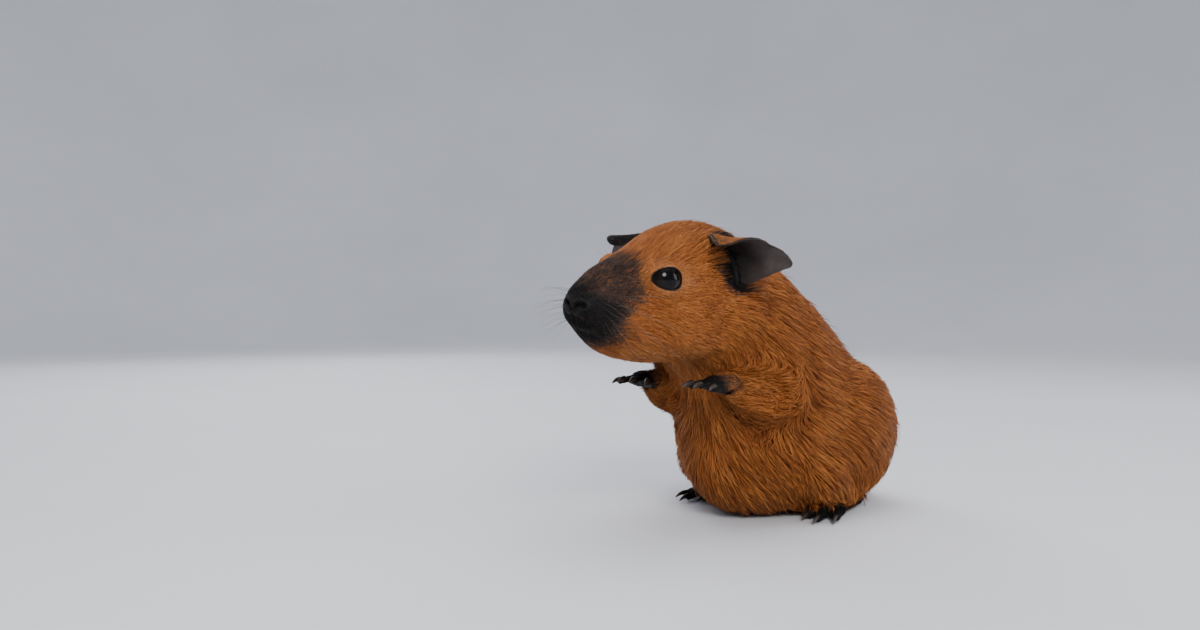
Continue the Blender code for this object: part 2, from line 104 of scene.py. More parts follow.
# The coat by region: tuft length, width and depth in mm, tufts per mm2, and how far tufts gather in locks.
COAT = {
    "muzzle": (2.4, 0.22, 0.5, 11.0, 0.3),
    "face": (6.0, 0.25, 1.0, 6.0, 0.6),
    "head": (9.5, 0.29, 1.9, 4.6, 0.65),
    "neck": (11.5, 0.33, 3.0, 3.6, 0.65),
    "trunk": (14.0, 0.38, 3.5, 2.7, 0.6),
    "foreleg": (7.0, 0.29, 1.9, 5.0, 0.55),
    "forefoot": (2.4, 0.20, 0.4, 9.0, 0.3),
    "hindleg": (12.0, 0.37, 3.1, 3.0, 0.6),
    "hindfoot": (2.4, 0.22, 0.45, 8.0, 0.3),
}
REGIONS = tuple(COAT)
# Pieces of the coat: regions, steps from a tuft's root to its tip, least number of pieces, and material slot.
COAT_PIECES = {
    "muzzle": (["muzzle"], 2, 1, "dark_coat"),
    "face": (["face"], 3, 2, "coat"),
    "head": (["head"], 3, 2, "coat"),
    "neck": (["neck"], 3, 1, "coat"),
    "trunk": (["trunk"], 3, 2, "coat"),
    "forelegs": (["foreleg"], 3, 2, "coat"),
    "hindlegs": (["hindleg"], 3, 2, "coat"),
    "feet": (["forefoot", "hindfoot"], 2, 1, "dark_coat"),
}
DENSITY = 1.0
TUFT_LIMIT = 190000  # triangles in one coat piece
TUFT_PATCH = 0.003  # width of a tuft's patch in the OFBake map
STREAK_GAP = 50.0  # how far apart in the noise the streaks of the palest and the darkest tuft lie
ROOT_DEPTH = 0.15  # mm that a root goes into the skin
HAIR_FLOOR = 0.15  # mm from the floor to the lowest hair
STRAY = 0.065  # radians that tufts turn aside
CURL = 0.035  # radians that they bend by on the way
LOCK_SIZE = 20  # tufts in a lock
LOCK_CHOICES = 14  # leaders that a tuft chooses its lock from
LOCK_STRETCH = 5.0  # how much longer than wide a lock is


def ramp(value, low, high):
    """0 below low, 1 above high, and smooth between."""
    share = np.clip((value - low) / (high - low), 0.0, 1.0)
    return share * share * (3 - 2 * share)


def bell(distance, width):
    return np.exp(-((distance / width) ** 2))


def unit(vectors):
    return vectors / np.maximum(np.linalg.norm(vectors, axis=-1, keepdims=True), 1e-9)


def laid(vectors, normals):
    """The part of each vector that lies along the surface."""
    return vectors - normals * (vectors * normals).sum(axis=1, keepdims=True)


def turned(vectors, normals, angle):
    """Vectors turned about normals that they are square to."""
    return vectors * np.cos(angle)[:, None] + np.cross(normals, vectors) * np.sin(angle)[:, None]


LATTICE_SIZE = 24
LATTICE = random.random((LATTICE_SIZE,) * 3)


def noise(points, scale):
    """Smooth noise from -1 to 1, whose patches are about scale mm across."""
    place = np.asarray(points) / (scale * MM) + 100.0
    cell = np.floor(place).astype(int)
    share = place - cell
    share = share * share * (3 - 2 * share)
    total = 0.0
    for corner in np.ndindex(2, 2, 2):
        weight = np.prod(np.where(corner, share, 1 - share), axis=-1)
        at = (cell + corner) % LATTICE_SIZE
        total = total + weight * LATTICE[at[..., 0], at[..., 1], at[..., 2]]
    return 2 * total - 1


# ---- head coordinates


def middle_of(node):
    low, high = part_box(node)
    return (low + high) / 2


def head_frame():
    """Rotation and origin of head coordinates in the row frame, from the eyes' places."""
    turn = Euler((math.radians(HEAD_TILT), 0.0, math.radians(HEAD_TURN))).to_matrix()
    between = (middle_of("eye_left") + middle_of("eye_right")) / 2
    origin = between - turn @ Vector((EYE_CENTRE[0], 0.0, EYE_CENTRE[2])) * MM
    return np.array(turn), np.array(origin)


TURN, ORIGIN = head_frame()


def to_head(points):
    return (np.asarray(points) - ORIGIN) @ TURN / MM


def to_row(points):
    return np.asarray(points) * MM @ TURN.T + ORIGIN


def on_side(point, side):
    return np.array((point[0], point[1] * side, point[2]))


# ---- meshes as arrays


def link(name, mesh):
    obj = bpy.data.objects.new(name, mesh)
    bpy.context.scene.collection.objects.link(obj)
    return obj


def remove(obj):
    bpy.data.objects.remove(obj, do_unlink=True)


def mesh_from(part, name):
    """The mesh that a bmesh has built."""
    mesh = bpy.data.meshes.new(name)
    part.to_mesh(mesh)
    part.free()
    return mesh


def evaluated(obj):
    """Replaces the object's mesh with what its modifiers make of it."""
    bpy.context.view_layer.update()
    mesh = bpy.data.meshes.new_from_object(obj.evaluated_get(bpy.context.evaluated_depsgraph_get()))
    obj.modifiers.clear()
    obj.data = mesh
    return obj


def thinned(obj, triangles):
    """Brings the object's mesh down to about so many triangles."""
    thin = obj.modifiers.new("thin_out", "DECIMATE")
    thin.ratio = min(1.0, triangles / (2 * len(obj.data.polygons)))
    obj.modifiers.new("triangles", "TRIANGULATE")
    return evaluated(obj)


def values_of(items, field, width, kind=np.float32):
    values = np.empty(len(items) * width, kind)
    items.foreach_get(field, values)
    return values.reshape(-1, width)


def points_of(mesh):
    return values_of(mesh.vertices, "co", 3).astype(float)


def set_points(mesh, points):
    mesh.vertices.foreach_set("co", np.asarray(points, np.float32).ravel())
    mesh.update()


def normals_of(mesh):
    return values_of(mesh.vertex_normals, "vector", 3).astype(float)


def edges_of(mesh):
    return values_of(mesh.edges, "vertices", 2, np.int32)


def triangles_of(mesh):
    """Vertex numbers of a triangulated mesh's faces."""
    return values_of(mesh.loops, "vertex_index", 1, np.int32).reshape(-1, 3)


def new_mesh(name, points, triangles):
    mesh = bpy.data.meshes.new(name)
    mesh.vertices.add(len(points))
    mesh.vertices.foreach_set("co", np.asarray(points, np.float32).ravel())
    mesh.loops.add(3 * len(triangles))
    mesh.loops.foreach_set("vertex_index", np.asarray(triangles, np.int32).ravel())
    mesh.polygons.add(len(triangles))
    mesh.polygons.foreach_set("loop_start", np.arange(0, 3 * len(triangles), 3, dtype=np.int32))
    mesh.update(calc_edges=True)
    mesh.shade_smooth()
    return mesh


def store(mesh, name, values):
    """Keeps a number or a vector for each vertex, for the materials to read."""
    kind, field = ("FLOAT", "value") if values.ndim == 1 else ("FLOAT_VECTOR", "vector")
    attribute = mesh.attributes.new(name, kind, "POINT")
    attribute.data.foreach_set(field, values.astype(np.float32).ravel())


def smoothed(values, edges, rounds, share=0.5):
    """Values at vertices, each drawn towards the mean of its neighbours."""
    values = np.array(values, float)
    flat = values.reshape(len(values), -1)
    count = np.maximum(np.bincount(edges.ravel(), minlength=len(flat)), 1)
    share = np.broadcast_to(share, len(flat))
    for _ in range(rounds):
        for column in range(flat.shape[1]):
            near = np.bincount(edges[:, 0], flat[edges[:, 1], column], len(flat))
            near += np.bincount(edges[:, 1], flat[edges[:, 0], column], len(flat))
            flat[:, column] += share * (near / count - flat[:, column])
    return flat.reshape(values.shape)


# ---- the skin's base


def toes_of(limb, side_name):
    """The middle of a foot's claws, in the row frame."""
    claws = [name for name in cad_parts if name.startswith(f"claw_{limb}_{side_name}")]
    return np.mean([middle_of(name) for name in claws], axis=0)


def toe_gap(points):
    """Distance to the nearest foot's claws, as a share of the length of its toes and claws."""
    gaps = [
        np.linalg.norm(points - toes_of(limb, name), axis=1) / (length * MM)
        for limb, length in TOE_LENGTHS.items()
        for name, _ in SIDES
    ]
    return np.min(gaps, axis=0)


def toe_share(points):
    """1 on the toes, and 0 behind their roots."""
    return 1 - ramp(toe_gap(points), 0.75, 1.1)


def grown_copy(node):
    """The solid's mesh, welded and moved out along its normals, but with its toes drawn in."""
    part = bmesh.new()
    part.from_mesh(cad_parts[node].data)
    bmesh.ops.remove_doubles(part, verts=part.verts, dist=1e-6)
    bmesh.ops.recalc_face_normals(part, faces=part.faces)
    part.normal_update()
    points = np.array([vert.co for vert in part.verts])
    share = toe_share(points) if "foot" in node else np.zeros(len(points))
    for vert, toe in zip(part.verts, share):
        vert.co += vert.normal * (JOINING * (1 - toe) - TOE_THINNING * toe) * MM
    return mesh_from(part, node)


def ball_mesh(centre, radii):
    """A ball in head coordinates."""
    part = bmesh.new()
    bmesh.ops.create_icosphere(part, subdivisions=3, radius=1.0)
    mesh = mesh_from(part, "ball")
    set_points(mesh, to_row(points_of(mesh) * radii + centre))
    return mesh


def united_body():
    """The flesh solids as one closed body, with the sockets of eyes and ears filled."""
    whole = bmesh.new()
    for node in FLESH:
        whole.from_mesh(grown_copy(node))
    for _, side in SIDES:
        whole.from_mesh(ball_mesh(on_side(EYE_CENTRE, side), (EYE_RADIUS + EYE_FILL,) * 3))
        whole.from_mesh(ball_mesh(on_side(EAR_ROOT, side) + EAR_FILL[0], EAR_FILL[1]))
    body = link("skin", mesh_from(whole, "skin"))
    remesh = body.modifiers.new("unite", "REMESH")
    remesh.mode = "VOXEL"
    remesh.voxel_size = SKIN_VOXEL * MM
    return evaluated(body)


def owner_tree():
    """A search tree over the flesh solids, and the region number of each of its faces."""
    points, faces, owners = [], [], []
    for node in FLESH:
        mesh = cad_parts[node].data
        start = len(points)
        points += [vertex.co.copy() for vertex in mesh.vertices]
        for face in mesh.polygons:
            faces.append([start + v for v in face.vertices])
            owners.append(REGIONS.index(node.split("_")[0]))
    return BVHTree.FromPolygons(points, faces), np.array(owners)


def nearest(tree, points):
    """Place and face number on the tree's mesh nearest to each point."""
    found = [tree.find_nearest(Vector(point)) for point in points]
    return np.array([item[0] for item in found]), np.array([item[2] for item in found])


OWNER_TREE, OWNERS = owner_tree()


def part_of(weights, *names):
    """How much each vertex belongs to the named regions."""
    return sum(weights[:, REGIONS.index(name)] for name in names)


def region_weights(points, edges):
    """How much each vertex belongs to each region, smooth across their borders."""
    weights = np.eye(len(REGIONS))[OWNERS[nearest(OWNER_TREE, points)[1]]]
    x = to_head(points)[:, 0]
    head = part_of(weights, "head")
    muzzle = 1 - ramp(x, 9.0, 19.0)
    back = ramp(x, 28.0, 42.0)
    for name, share in (("muzzle", muzzle), ("face", (1 - muzzle) * (1 - back)), ("head", back)):
        weights[:, REGIONS.index(name)] = head * share
    return smoothed(weights, edges, 6)


def region_value(weights, column):
    """A column of the coat's table, mixed by region."""
    return weights @ np.array([row[column] for row in COAT.values()])


def of_feet(weights):
    return part_of(weights, "forefoot", "hindfoot")


def inset_skin(body):
    """Smooths the united body and draws it in by the coat's depth."""
    mesh = body.data
    points, edges = points_of(mesh), edges_of(mesh)
    weights = region_weights(points, edges)
    feet = of_feet(weights)
    toes = np.clip(1.5 * feet, 0, 1) * toe_share(points)
    share = 0.5 * (1 - 0.7 * np.clip(feet, 0, 1)) * (1 - 0.6 * toes)
    for _ in range(SKIN_ROUNDS):
        points = smoothed(points, edges, 1, share)
        points = smoothed(points, edges, 1, -0.9 * share)
    points = smoothed(points, edges, 3, share * (1 - np.clip(1.4 * feet, 0, 1)))
    set_points(mesh, points)
    depth = (smoothed(region_value(weights, 2), edges, 4) + JOINING) * (1 - toes)
    for _ in range(INSET_STEPS):
        points = points - unit(smoothed(normals_of(mesh), edges, 3)) * (depth / INSET_STEPS * MM)[:, None]
        set_points(mesh, points)
    points = smoothed(points, edges, 2, share)
    points[:, 2] = np.maximum(points[:, 2], SKIN_FLOOR * MM)
    set_points(mesh, points)
    return body


# ---- markings


def lid_axes(side):
    """The eye opening's own axes in head coordinates: along it to the rear, up it, and out."""
    out = unit(on_side(LID_OUT, side))
    along = unit(np.array((1.0, 0.0, -0.05)) - out * out[0])
    return along, np.cross(out, along) * side, out


def lid_height(u, upper):
    """Half the height of the eye's opening at u along it."""
    return np.where(upper, LID_HEIGHT, LID_HEIGHT * LID_LOWER) * (1 + 0.03 * u / LID_LENGTH)


def lid_share(h, side):
    """1 on the edge of the eye's opening, less inside and more outside, and the distance from its centre."""
    away = h - on_side(EYE_CENTRE, side)
    distance = np.linalg.norm(away, axis=-1)
    along, up, out = lid_axes(side)
    way = away / np.maximum(distance, 1e-6)[..., None]
    u, v = way @ along * LID_RADIUS, way @ up * LID_RADIUS
    share = np.abs(u / LID_LENGTH) ** LID_POWERS[0] + np.abs(v / lid_height(u, v > 0)) ** LID_POWERS[1]
    return np.where(way @ out > 0, share, 50.0), distance


def bare_share(h):
    """1 on the bare skin of the nose, lips and lids."""
    x, y, z = h.T
    pad = 1 - ramp(np.hypot((x - 0.5) / 2.6, np.hypot(y / 4.0, (z + 8.4) / 3.6)), 0.75, 1.1)
    for side in (1, -1):
        share, distance = lid_share(h, side)
        pad = np.maximum(pad, (1 - ramp(share, 1.0, 1.16)) * (distance < 6.4))
    return pad


def markings(points, weights, edges):
    """How dark and how pale the coat and skin are at each point, from 0 to 1; the dark includes painted shade
    under the ears.
    """
    smooth_feet = smoothed(of_feet(weights), edges, 12) + 0.12 * noise(points, 2.0)
    h = to_head(points)
    x, _, z = h.T
    wobble = 0.8 * noise(points, 3.2) + 0.5 * noise(points, 1.2)
    chin = ramp(-z, 15.0, 21.0)
    edge = 13.0 + 9.0 * ramp(z, -15.0, -4.0) - 2.5 * chin
    core = 1.5 + 11.5 * ramp(-z, 2.0, 11.0) - 4.0 * chin
    brown = 1 - ramp(x + wobble, edge - 8.0, edge + 3.0)
    black = 1 - ramp(x + wobble, core - 4.0, core + 5.0)
    dark = 0.60 * brown + 0.40 * black
    wrist = np.clip(part_of(weights, "forefoot", "foreleg"), 0, 1) * ramp(toe_gap(points), 0.7, 1.5)
    dark = np.maximum(dark, ramp(smooth_feet, 0.12, 0.5) * (1 - 0.6 * wrist))
    pale = 0.35 * ramp(-z, 13.0, 22.0) * ramp(x, 8.0, 18.0) * (1 - ramp(x, 38.0, 55.0))
    for _, side in SIDES:
        # Dark hair at each ear's root, and painted shade carried on down under the ear.
        gap = distance_to_line(h, [on_side(point, side) for point in EAR_FUR_AND_SHADE_LINE])
        dark = np.maximum(dark, 1 - ramp(gap + 0.8 * noise(points, 3.0), 2.4, 6.4))
        share, distance = lid_share(h, side)
        ring = 0.6 * (1 - ramp(share, 1.2, 2.6)) * (distance < NEAR_EYE)
        below = (on_side(EYE_CENTRE, side) - h) @ np.array((-0.5, 0.0, 1.0))
        pale = np.maximum(pale, ring * (0.55 + 0.45 * ramp(below, -2.0, 3.0)))
    pale = np.maximum(pale, 0.7 * ramp(part_of(weights, "forefoot"), 0.02, 0.2) * (1 - dark))
    return np.clip(dark, 0, 1), np.clip(pale * (1 - 0.8 * dark), 0, 1)


# ---- the skin's detail


def nose_gap(h):
    return h[:, 0]


def eye_gap(h):
    return np.min([np.linalg.norm(h - on_side(EYE_CENTRE, side), axis=1) for _, side in SIDES], axis=0)


def refined(obj, gap, reach):
    """Halves the edges of the mesh where both ends are within reach."""
    mesh = obj.data
    keep = gap(to_head(points_of(mesh))) < reach
    part = bmesh.new()
    part.from_mesh(mesh)
    part.verts.ensure_lookup_table()
    edges = [edge for edge in part.edges if keep[edge.verts[0].index] and keep[edge.verts[1].index]]
    bmesh.ops.subdivide_edges(part, edges=edges, cuts=1, use_grid_fill=True)
    part.to_mesh(mesh)
    part.free()
    mesh.update()
    keep = gap(to_head(points_of(mesh))) < reach
    set_points(mesh, smoothed(points_of(mesh), edges_of(mesh), 3, 0.5 * keep))


def distance_to_line(points, line):
    """Distance from each point to a row of straight pieces."""
    best = np.full(len(points), 1e9)
    for a, b in zip(np.array(line[:-1], float), np.array(line[1:], float)):
        way = b - a
        share = np.clip((points - a) @ way / (way @ way), 0, 1)
        best = np.minimum(best, np.linalg.norm(points - a - share[:, None] * way, axis=1))
    return best


NOSTRIL = ((1.0, -9.6), (1.35, -8.7), (2.2, -8.0), (3.3, -7.9), (3.9, -8.3))  # y and z
PHILTRUM = ((0.0, -10.0), (0.0, -15.4))  # y and z
MOUTH = ((0.5, -15.2), (3.0, -16.2), (6.0, -17.2), (9.0, -18.6))  # x and z


def sculpt_nose(h):
    """Moves along the normal that make nostrils, the groove under them and the lips, in mm."""
    front = 1 - ramp(h[:, 0], 5.0, 8.0)
    nostril = distance_to_line(np.column_stack((np.abs(h[:, 1]), h[:, 2])), NOSTRIL)
    groove = distance_to_line(h[:, 1:], PHILTRUM)
    mouth = distance_to_line(h[:, (0, 2)], MOUTH)
    lips = 1 - ramp(h[:, 0], 9.0, 12.0)
    move = -1.7 * bell(nostril, 0.55) * front + 0.30 * bell(nostril - 1.1, 0.5) * front
    move -= 0.55 * bell(groove, 0.32) * front
    move -= 1.0 * bell(mouth, 0.4) * lips
    return move + 0.35 * bell(mouth - 1.1, 0.7) * lips


def sculpt_lids(h):
    """Head coordinates with the skin drawn over each eyeball and open between the lids."""
    lid, hollow = LID_RADIUS + 0.15, EYE_RADIUS - 0.9
    for _, side in SIDES:
        centre = on_side(EYE_CENTRE, side)
        share, distance = lid_share(h, side)
        away = unit(h - centre)
        facing = ramp(away @ lid_axes(side)[2], 0.12, 0.45) * (distance < NEAR_EYE)
        near_rim = 1 - ramp(share, 1.25, 4.5)
        outside = lid * near_rim + np.maximum(distance, lid) * (1 - near_rim)
        outside = distance + (outside - distance) * facing
        inside = ramp(share, 1.06, 0.86)
        new = np.where(facing > 0, outside * (1 - inside) + hollow * inside, distance)
        h = centre + away * new[:, None]
    return h


def fine_skin(base):
    """The skin piece: the base with a finer mesh and sculpted detail on the face."""
    skin = link("skin", base.data.copy())
    for gap, reach in ((nose_gap, 13.0), (nose_gap, 5.5), (eye_gap, 8.5), (eye_gap, 7.6)):
        refined(skin, gap, reach)
    mesh = skin.data
    h = to_head(points_of(mesh))
    h = sculpt_lids(h + normals_of(mesh) @ TURN * sculpt_nose(h)[:, None])
    points = to_row(h)
    points += normals_of(mesh) * (0.05 * MM * noise(points, 1.0))[:, None]
    set_points(mesh, points)
    return thinned(skin, SKIN_TRIANGLES)


# ---- ears


def ear_matrix(side):
    """Carries the ear from its own frame, lying along +X with its cup down, to the row frame."""
    lean, droop, sweep = (math.radians(angle) for angle in EAR_TURN[side])
    out = Matrix.Rotation(math.radians(-90) + sweep, 4, "Z")
    turn = out @ Matrix.Rotation(droop, 4, "Y") @ Matrix.Rotation(lean, 4, "X")
    place = Matrix.Translation(Vector(EAR_ROOT)) @ turn @ Matrix.Translation(Vector((-EAR_SUNK, 0, 0)))
    head = Matrix(TURN).to_4x4() @ Matrix.Scale(MM, 4)
    return Matrix.Translation(Vector(ORIGIN)) @ head @ Matrix.Scale(side, 4, (0, 1, 0)) @ place


def ear_surface(u, v, lift):
    """Points of the ear in its own frame. u is from root to tip, v across it, lift the side of the sheet."""
    half = EAR_WIDTH / 2 * (0.50 + 0.50 * np.sin(np.pi * np.minimum(1.0, u * 1.05) ** 0.8))
    half = half * np.maximum(1 - u**3.0, 1e-4) ** 0.6
    bend = 1.05 - 0.65 * u
    roll = np.where(v < 0, 0.55 * np.sin(np.pi * np.minimum(1.0, u * 1.45)), 0.0)
    angle = v * (bend + roll * np.abs(v))
    radius = half / bend
    ridges = 0.25 * np.sin(6.0 * v + 2.0 * u) * np.sin(np.pi * np.minimum(1.0, 1.2 * u)) * (1 - v * v) ** 2
    depth = ridges - radius * (1 - np.cos(angle)) - 2.0 * np.maximum(0.0, u - 0.35) ** 1.6
    narrow = np.where(v > 0, 0.45 + 0.55 * ramp(u, 0.15, 0.6), 0.70 + 0.30 * ramp(u, 0.08, 0.42))
    across = radius * np.sin(angle) * narrow - 3.5 * ramp(u, 0.55, 1.0) + np.sin(angle) * lift
    depth = depth + np.cos(angle) * lift
    twist = -math.radians(EAR_TWIST) * ramp(u, 0.3, 0.9)
    cos, sin = np.cos(twist), np.sin(twist)
    return np.stack((u * EAR_LENGTH, across * cos - depth * sin, across * sin + depth * cos), axis=-1)


def ear_grid(side):
    """The ear as a closed sheet: points, triangles, and u, v and side of the sheet for each point."""
    rows, columns = EAR_GRID
    v = np.sin(np.linspace(-1, 1, columns) * np.pi / 2)
    u, v = np.meshgrid(np.linspace(0, 0.992, rows), v, indexing="ij")
    rim = np.minimum(1 - np.abs(v), (1 - u) * 2.5)
    thickness = 0.22 + (0.26 + 0.35 * ramp(0.35 - u, 0.0, 0.35)) * ramp(rim, 0.0, 0.35)
    points = np.concatenate([ear_surface(u, v, face * thickness).reshape(-1, 3) for face in (1, -1)])
    places = [np.stack((u, v, np.full_like(u, face)), axis=-1).reshape(-1, 3) for face in (1, -1)]
    grid = np.arange(rows * columns).reshape(rows, columns)
    quads = np.stack((grid[:-1, :-1], grid[:-1, 1:], grid[1:, 1:], grid[1:, :-1]), axis=-1).reshape(-1, 4)
    edge = np.concatenate((grid[:, 0], grid[-1, 1:], grid[-2::-1, -1], grid[0, -2:0:-1]))
    after = np.roll(edge, -1)
    rim = np.stack((edge, after, after + grid.size, edge + grid.size), axis=-1)
    quads = np.concatenate((quads[:, ::-1], quads + grid.size, rim))
    triangles = np.concatenate((quads[:, (0, 1, 2)], quads[:, (0, 2, 3)]))
    matrix = np.array(ear_matrix(side))
    points = points @ matrix[:3, :3].T + matrix[:3, 3]
    return points, outward(points, triangles), np.concatenate(places)


def volume(points, triangles):
    a, b, c = (points[triangles[:, k]] - points.mean(axis=0) for k in range(3))
    return np.einsum("ij,ij->", a, np.cross(b, c)) / 6


def outward(points, triangles):
    """The triangles of a closed surface, facing out."""
    return triangles[:, ::-1] if volume(points, triangles) < 0 else triangles


# ---- tubes: lid rims, claws, whiskers


def tube(centres, radii, sides, up, closed=False, flat=1.0):
    """Points and triangles of a tube through centres, closed on itself or at each end by a point."""
    count = len(centres)
    way = np.roll(centres, -1, 0) - np.roll(centres, 1, 0) if closed else np.gradient(centres, axis=0)
    way = unit(way)
    across = unit(np.cross(way, up))
    over = np.cross(across, way)
    angle = np.arange(sides) * 2 * np.pi / sides
    ring = across[:, None] * np.cos(angle)[:, None] + over[:, None] * np.sin(angle)[:, None] * flat
    points = (centres[:, None] + ring * radii[:, None, None]).reshape(-1, 3)
    triangles = []
    for k in range(count if closed else count - 1):
        first, second = k * sides, (k + 1) % count * sides
        for j in range(sides):
            after = (j + 1) % sides
            triangles.append((first + j, first + after, second + after))
            triangles.append((first + j, second + after, second + j))
    if not closed:
        start, end, last = len(points), len(points) + 1, (count - 1) * sides
        points = np.vstack((points, centres[0], centres[-1]))
        for j in range(sides):
            after = (j + 1) % sides
            triangles.append((start, after, j))
            triangles.append((end, last + j, last + after))
    return points, outward(points, np.array(triangles))


def lid_rim(side):
    """The bare edge of the lids, a ring round the opening on the eyeball."""
    angle = np.linspace(0, 2 * np.pi, 120, endpoint=False)
    along, up, out = lid_axes(side)
    cos, sin = np.cos(angle), np.sin(angle)
    u = LID_LENGTH * np.sign(cos) * np.abs(cos) ** (2 / LID_POWERS[0])
    v = lid_height(u, sin > 0) * sin
    way = (u[:, None] * along + v[:, None] * up) / LID_RADIUS
    way = way + out * np.sqrt(np.maximum(1 - (way**2).sum(axis=1), 0.02))[:, None]
    centres = on_side(EYE_CENTRE, side) + unit(way) * (LID_RADIUS + 0.02)
    radii = 0.24 + 0.04 * np.cos(angle) + 0.02 * np.sin(5 * angle)
    points, triangles = tube(centres, radii, 10, unit(way), closed=True)
    return to_row(points), triangles


def claw(node, foot):
    """A curved claw with a root inside its toe, along the line of its solid."""
    points = points_of(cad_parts[node].data)
    centre = points.mean(axis=0)
    axis = np.linalg.svd(points - centre, full_matrices=False)[2][0]
    if (centre - np.array(middle_of(foot))) @ axis < 0:
        axis = -axis
    reach = (points - centre) @ axis
    root, length = centre + axis * (reach.min() - CLAW_SUNK * MM), np.ptp(reach) + CLAW_SUNK * MM
    share = np.linspace(0, 1, CLAW_RINGS)
    arch = 0.75 * MM * (share * (1 - share) * 2.2 - 0.35 * share**2)
    up = unit(np.cross(np.cross(axis, (0, 0, 1)), axis))
    centres = root + axis * (length * share)[:, None] + up * arch[:, None]
    radii = MM * (0.72 * (1 - share**1.5) ** 0.75 + 0.07)
    return tube(centres, radii, CLAW_SIDES, up, flat=1.15)


# ---- surfaces that the coat grows on


class Surface:
    """A triangulated mesh as arrays, with a value for each vertex under each name in fields."""

    def __init__(self, points, triangles, normals):
        self.points = points
        self.triangles = triangles
        self.normals = normals
        self.tree = BVHTree.FromPolygons(points.tolist(), triangles.tolist())
        self.fields = {}

    def areas(self):
        a, b, c = (self.points[self.triangles[:, k]] for k in range(3))
        return np.linalg.norm(np.cross(b - a, c - a), axis=1) / 2 / MM**2

    def at(self, values, faces, shares):
        """Values of vertices, read inside faces."""
        corners = values[self.triangles[faces]]
        shares = shares.reshape(shares.shape + (1,) * (corners.ndim - 2))
        return (corners * shares).sum(axis=1)


def head_flow(h):
    """The way the hair lies on the head, in head coordinates."""
    x, _, z = h.T
    from_nose = unit(h - (-7.0, 0.0, -9.5))
    rise = 0.42 * ramp(z, -1.0, 9.0) * (1 - ramp(x, 38.0, 52.0)) - 0.30 * ramp(-z, 1.0, 14.0)
    back = np.stack((np.ones_like(x), 0 * x, rise), axis=1)
    blend = ramp(x, 8.0, 32.0)[:, None]
    flow = from_nose * (1 - blend) + back * blend
    for _, side in SIDES:
        away = h - on_side(EYE_CENTRE, side)
        gap = np.linalg.norm(away, axis=1, keepdims=True)
        flow = flow + unit(away) * 0.95 * bell(gap, 7.6)
    return unit(flow)


def lie_of_hair(points, normals, weights, edges):
    """The way the coat lies at each vertex, along the skin."""
    head = part_of(weights, "muzzle", "face", "head")
    flow = (head_flow(to_head(points)) @ TURN.T) * head[:, None]
    body = np.array((0.80, 0.0, -0.52))
    flow += body * part_of(weights, "neck", "trunk")[:, None]
    for name, side in SIDES:
        here = points[:, 1] * -side > 0
        for limb in ("fore", "hind"):
            middle = np.array(middle_of(f"{limb}foot_{name}"))
            to_foot = unit(middle - points)
            if limb == "hind":
                low = ramp(0.022 - points[:, 2], 0.0, 0.012)[:, None]
                to_foot = unit(body * (1 - low) + to_foot * low)
            flow += to_foot * (here * part_of(weights, f"{limb}leg"))[:, None]
            flow += unit(toes_of(limb, name) - middle) * (here * part_of(weights, f"{limb}foot"))[:, None]
    for _ in range(5):
        flow = smoothed(unit(laid(flow, normals)), edges, 3)
    swirl = math.radians(8) * noise(points, 16.0) + math.radians(4) * noise(points, 5.0)
    swirl = swirl * (1 - 0.7 * part_of(weights, "muzzle"))
    return unit(turned(unit(laid(flow, normals)), normals, swirl))


def guide_surface(base):
    """A coarser copy of the skin with all that the coat needs to know at its vertices."""
    guide = thinned(link("guide", base.data.copy()), GUIDE_TRIANGLES)
    mesh = guide.data
    h = sculpt_lids(to_head(points_of(mesh)))
    set_points(mesh, to_row(h))
    points, edges = points_of(mesh), edges_of(mesh)
    surface = Surface(points, triangles_of(mesh), unit(smoothed(normals_of(mesh), edges, 2)))
    remove(guide)
    weights = region_weights(points, edges)
    near_lid = np.minimum(lid_share(h, 1)[0], lid_share(h, -1)[0])
    jaw = ramp(-to_head(points)[:, 2], 13.0, 20.0) * part_of(weights, "face", "head")
    sole = ramp(of_feet(weights), 0.4, 0.7) * ramp(-surface.normals[:, 2], 0.35, 0.7)
    names = ("length", "width", "depth", "density", "lock")
    fields = {name: region_value(weights, column) for column, name in enumerate(names)}
    fields["length"] *= 0.2 + 0.8 * ramp(near_lid, 1.2, 6.0)
    fields["length"] *= (0.4 + 0.6 * ramp(toe_gap(points), 0.9, 1.9)) * (1 + 0.3 * jaw)
    fields["depth"] *= 0.3 + 0.7 * ramp(near_lid, 1.2, 5.0)
    fields["density"] *= (1 - bare_share(h)) * (1 - sole)
    fields["density"] *= 1 + 0.8 * (1 - ramp(near_lid, 2.0, 6.0))
    fields["dark"], fields["pale"] = markings(points, weights, edges)
    fields["flow"] = lie_of_hair(points, surface.normals, weights, edges)
    fields["weights"] = weights
    surface.fields = fields
    return surface


# ---- tufts


# Where the rings of a tuft are, as shares of its length, and how wide, by its number of steps.
WHISKER_STEPS = 9
RINGS = {
    2: ((0.4,), (1.0,)),
    3: ((0.3, 0.68), (1.0, 0.72)),
    WHISKER_STEPS: (np.linspace(0, 1, WHISKER_STEPS + 1)[1:-1], np.linspace(1, 0.3, WHISKER_STEPS - 1)),
}


def tuft_faces(steps):
    """Triangles of one closed tuft: its root, rings of three points, and its tip."""
    tip = 3 * steps - 2
    faces = [(0, 1 + (j + 1) % 3, 1 + j) for j in range(3)]
    for k in range(steps - 2):
        for j in range(3):
            a, b = 1 + 3 * k + j, 1 + 3 * k + (j + 1) % 3
            faces += [(a, b, b + 3), (a, b + 3, a + 3)]
    faces += [(tip - 3 + j, tip - 3 + (j + 1) % 3, tip) for j in range(3)]
    return np.array(faces)


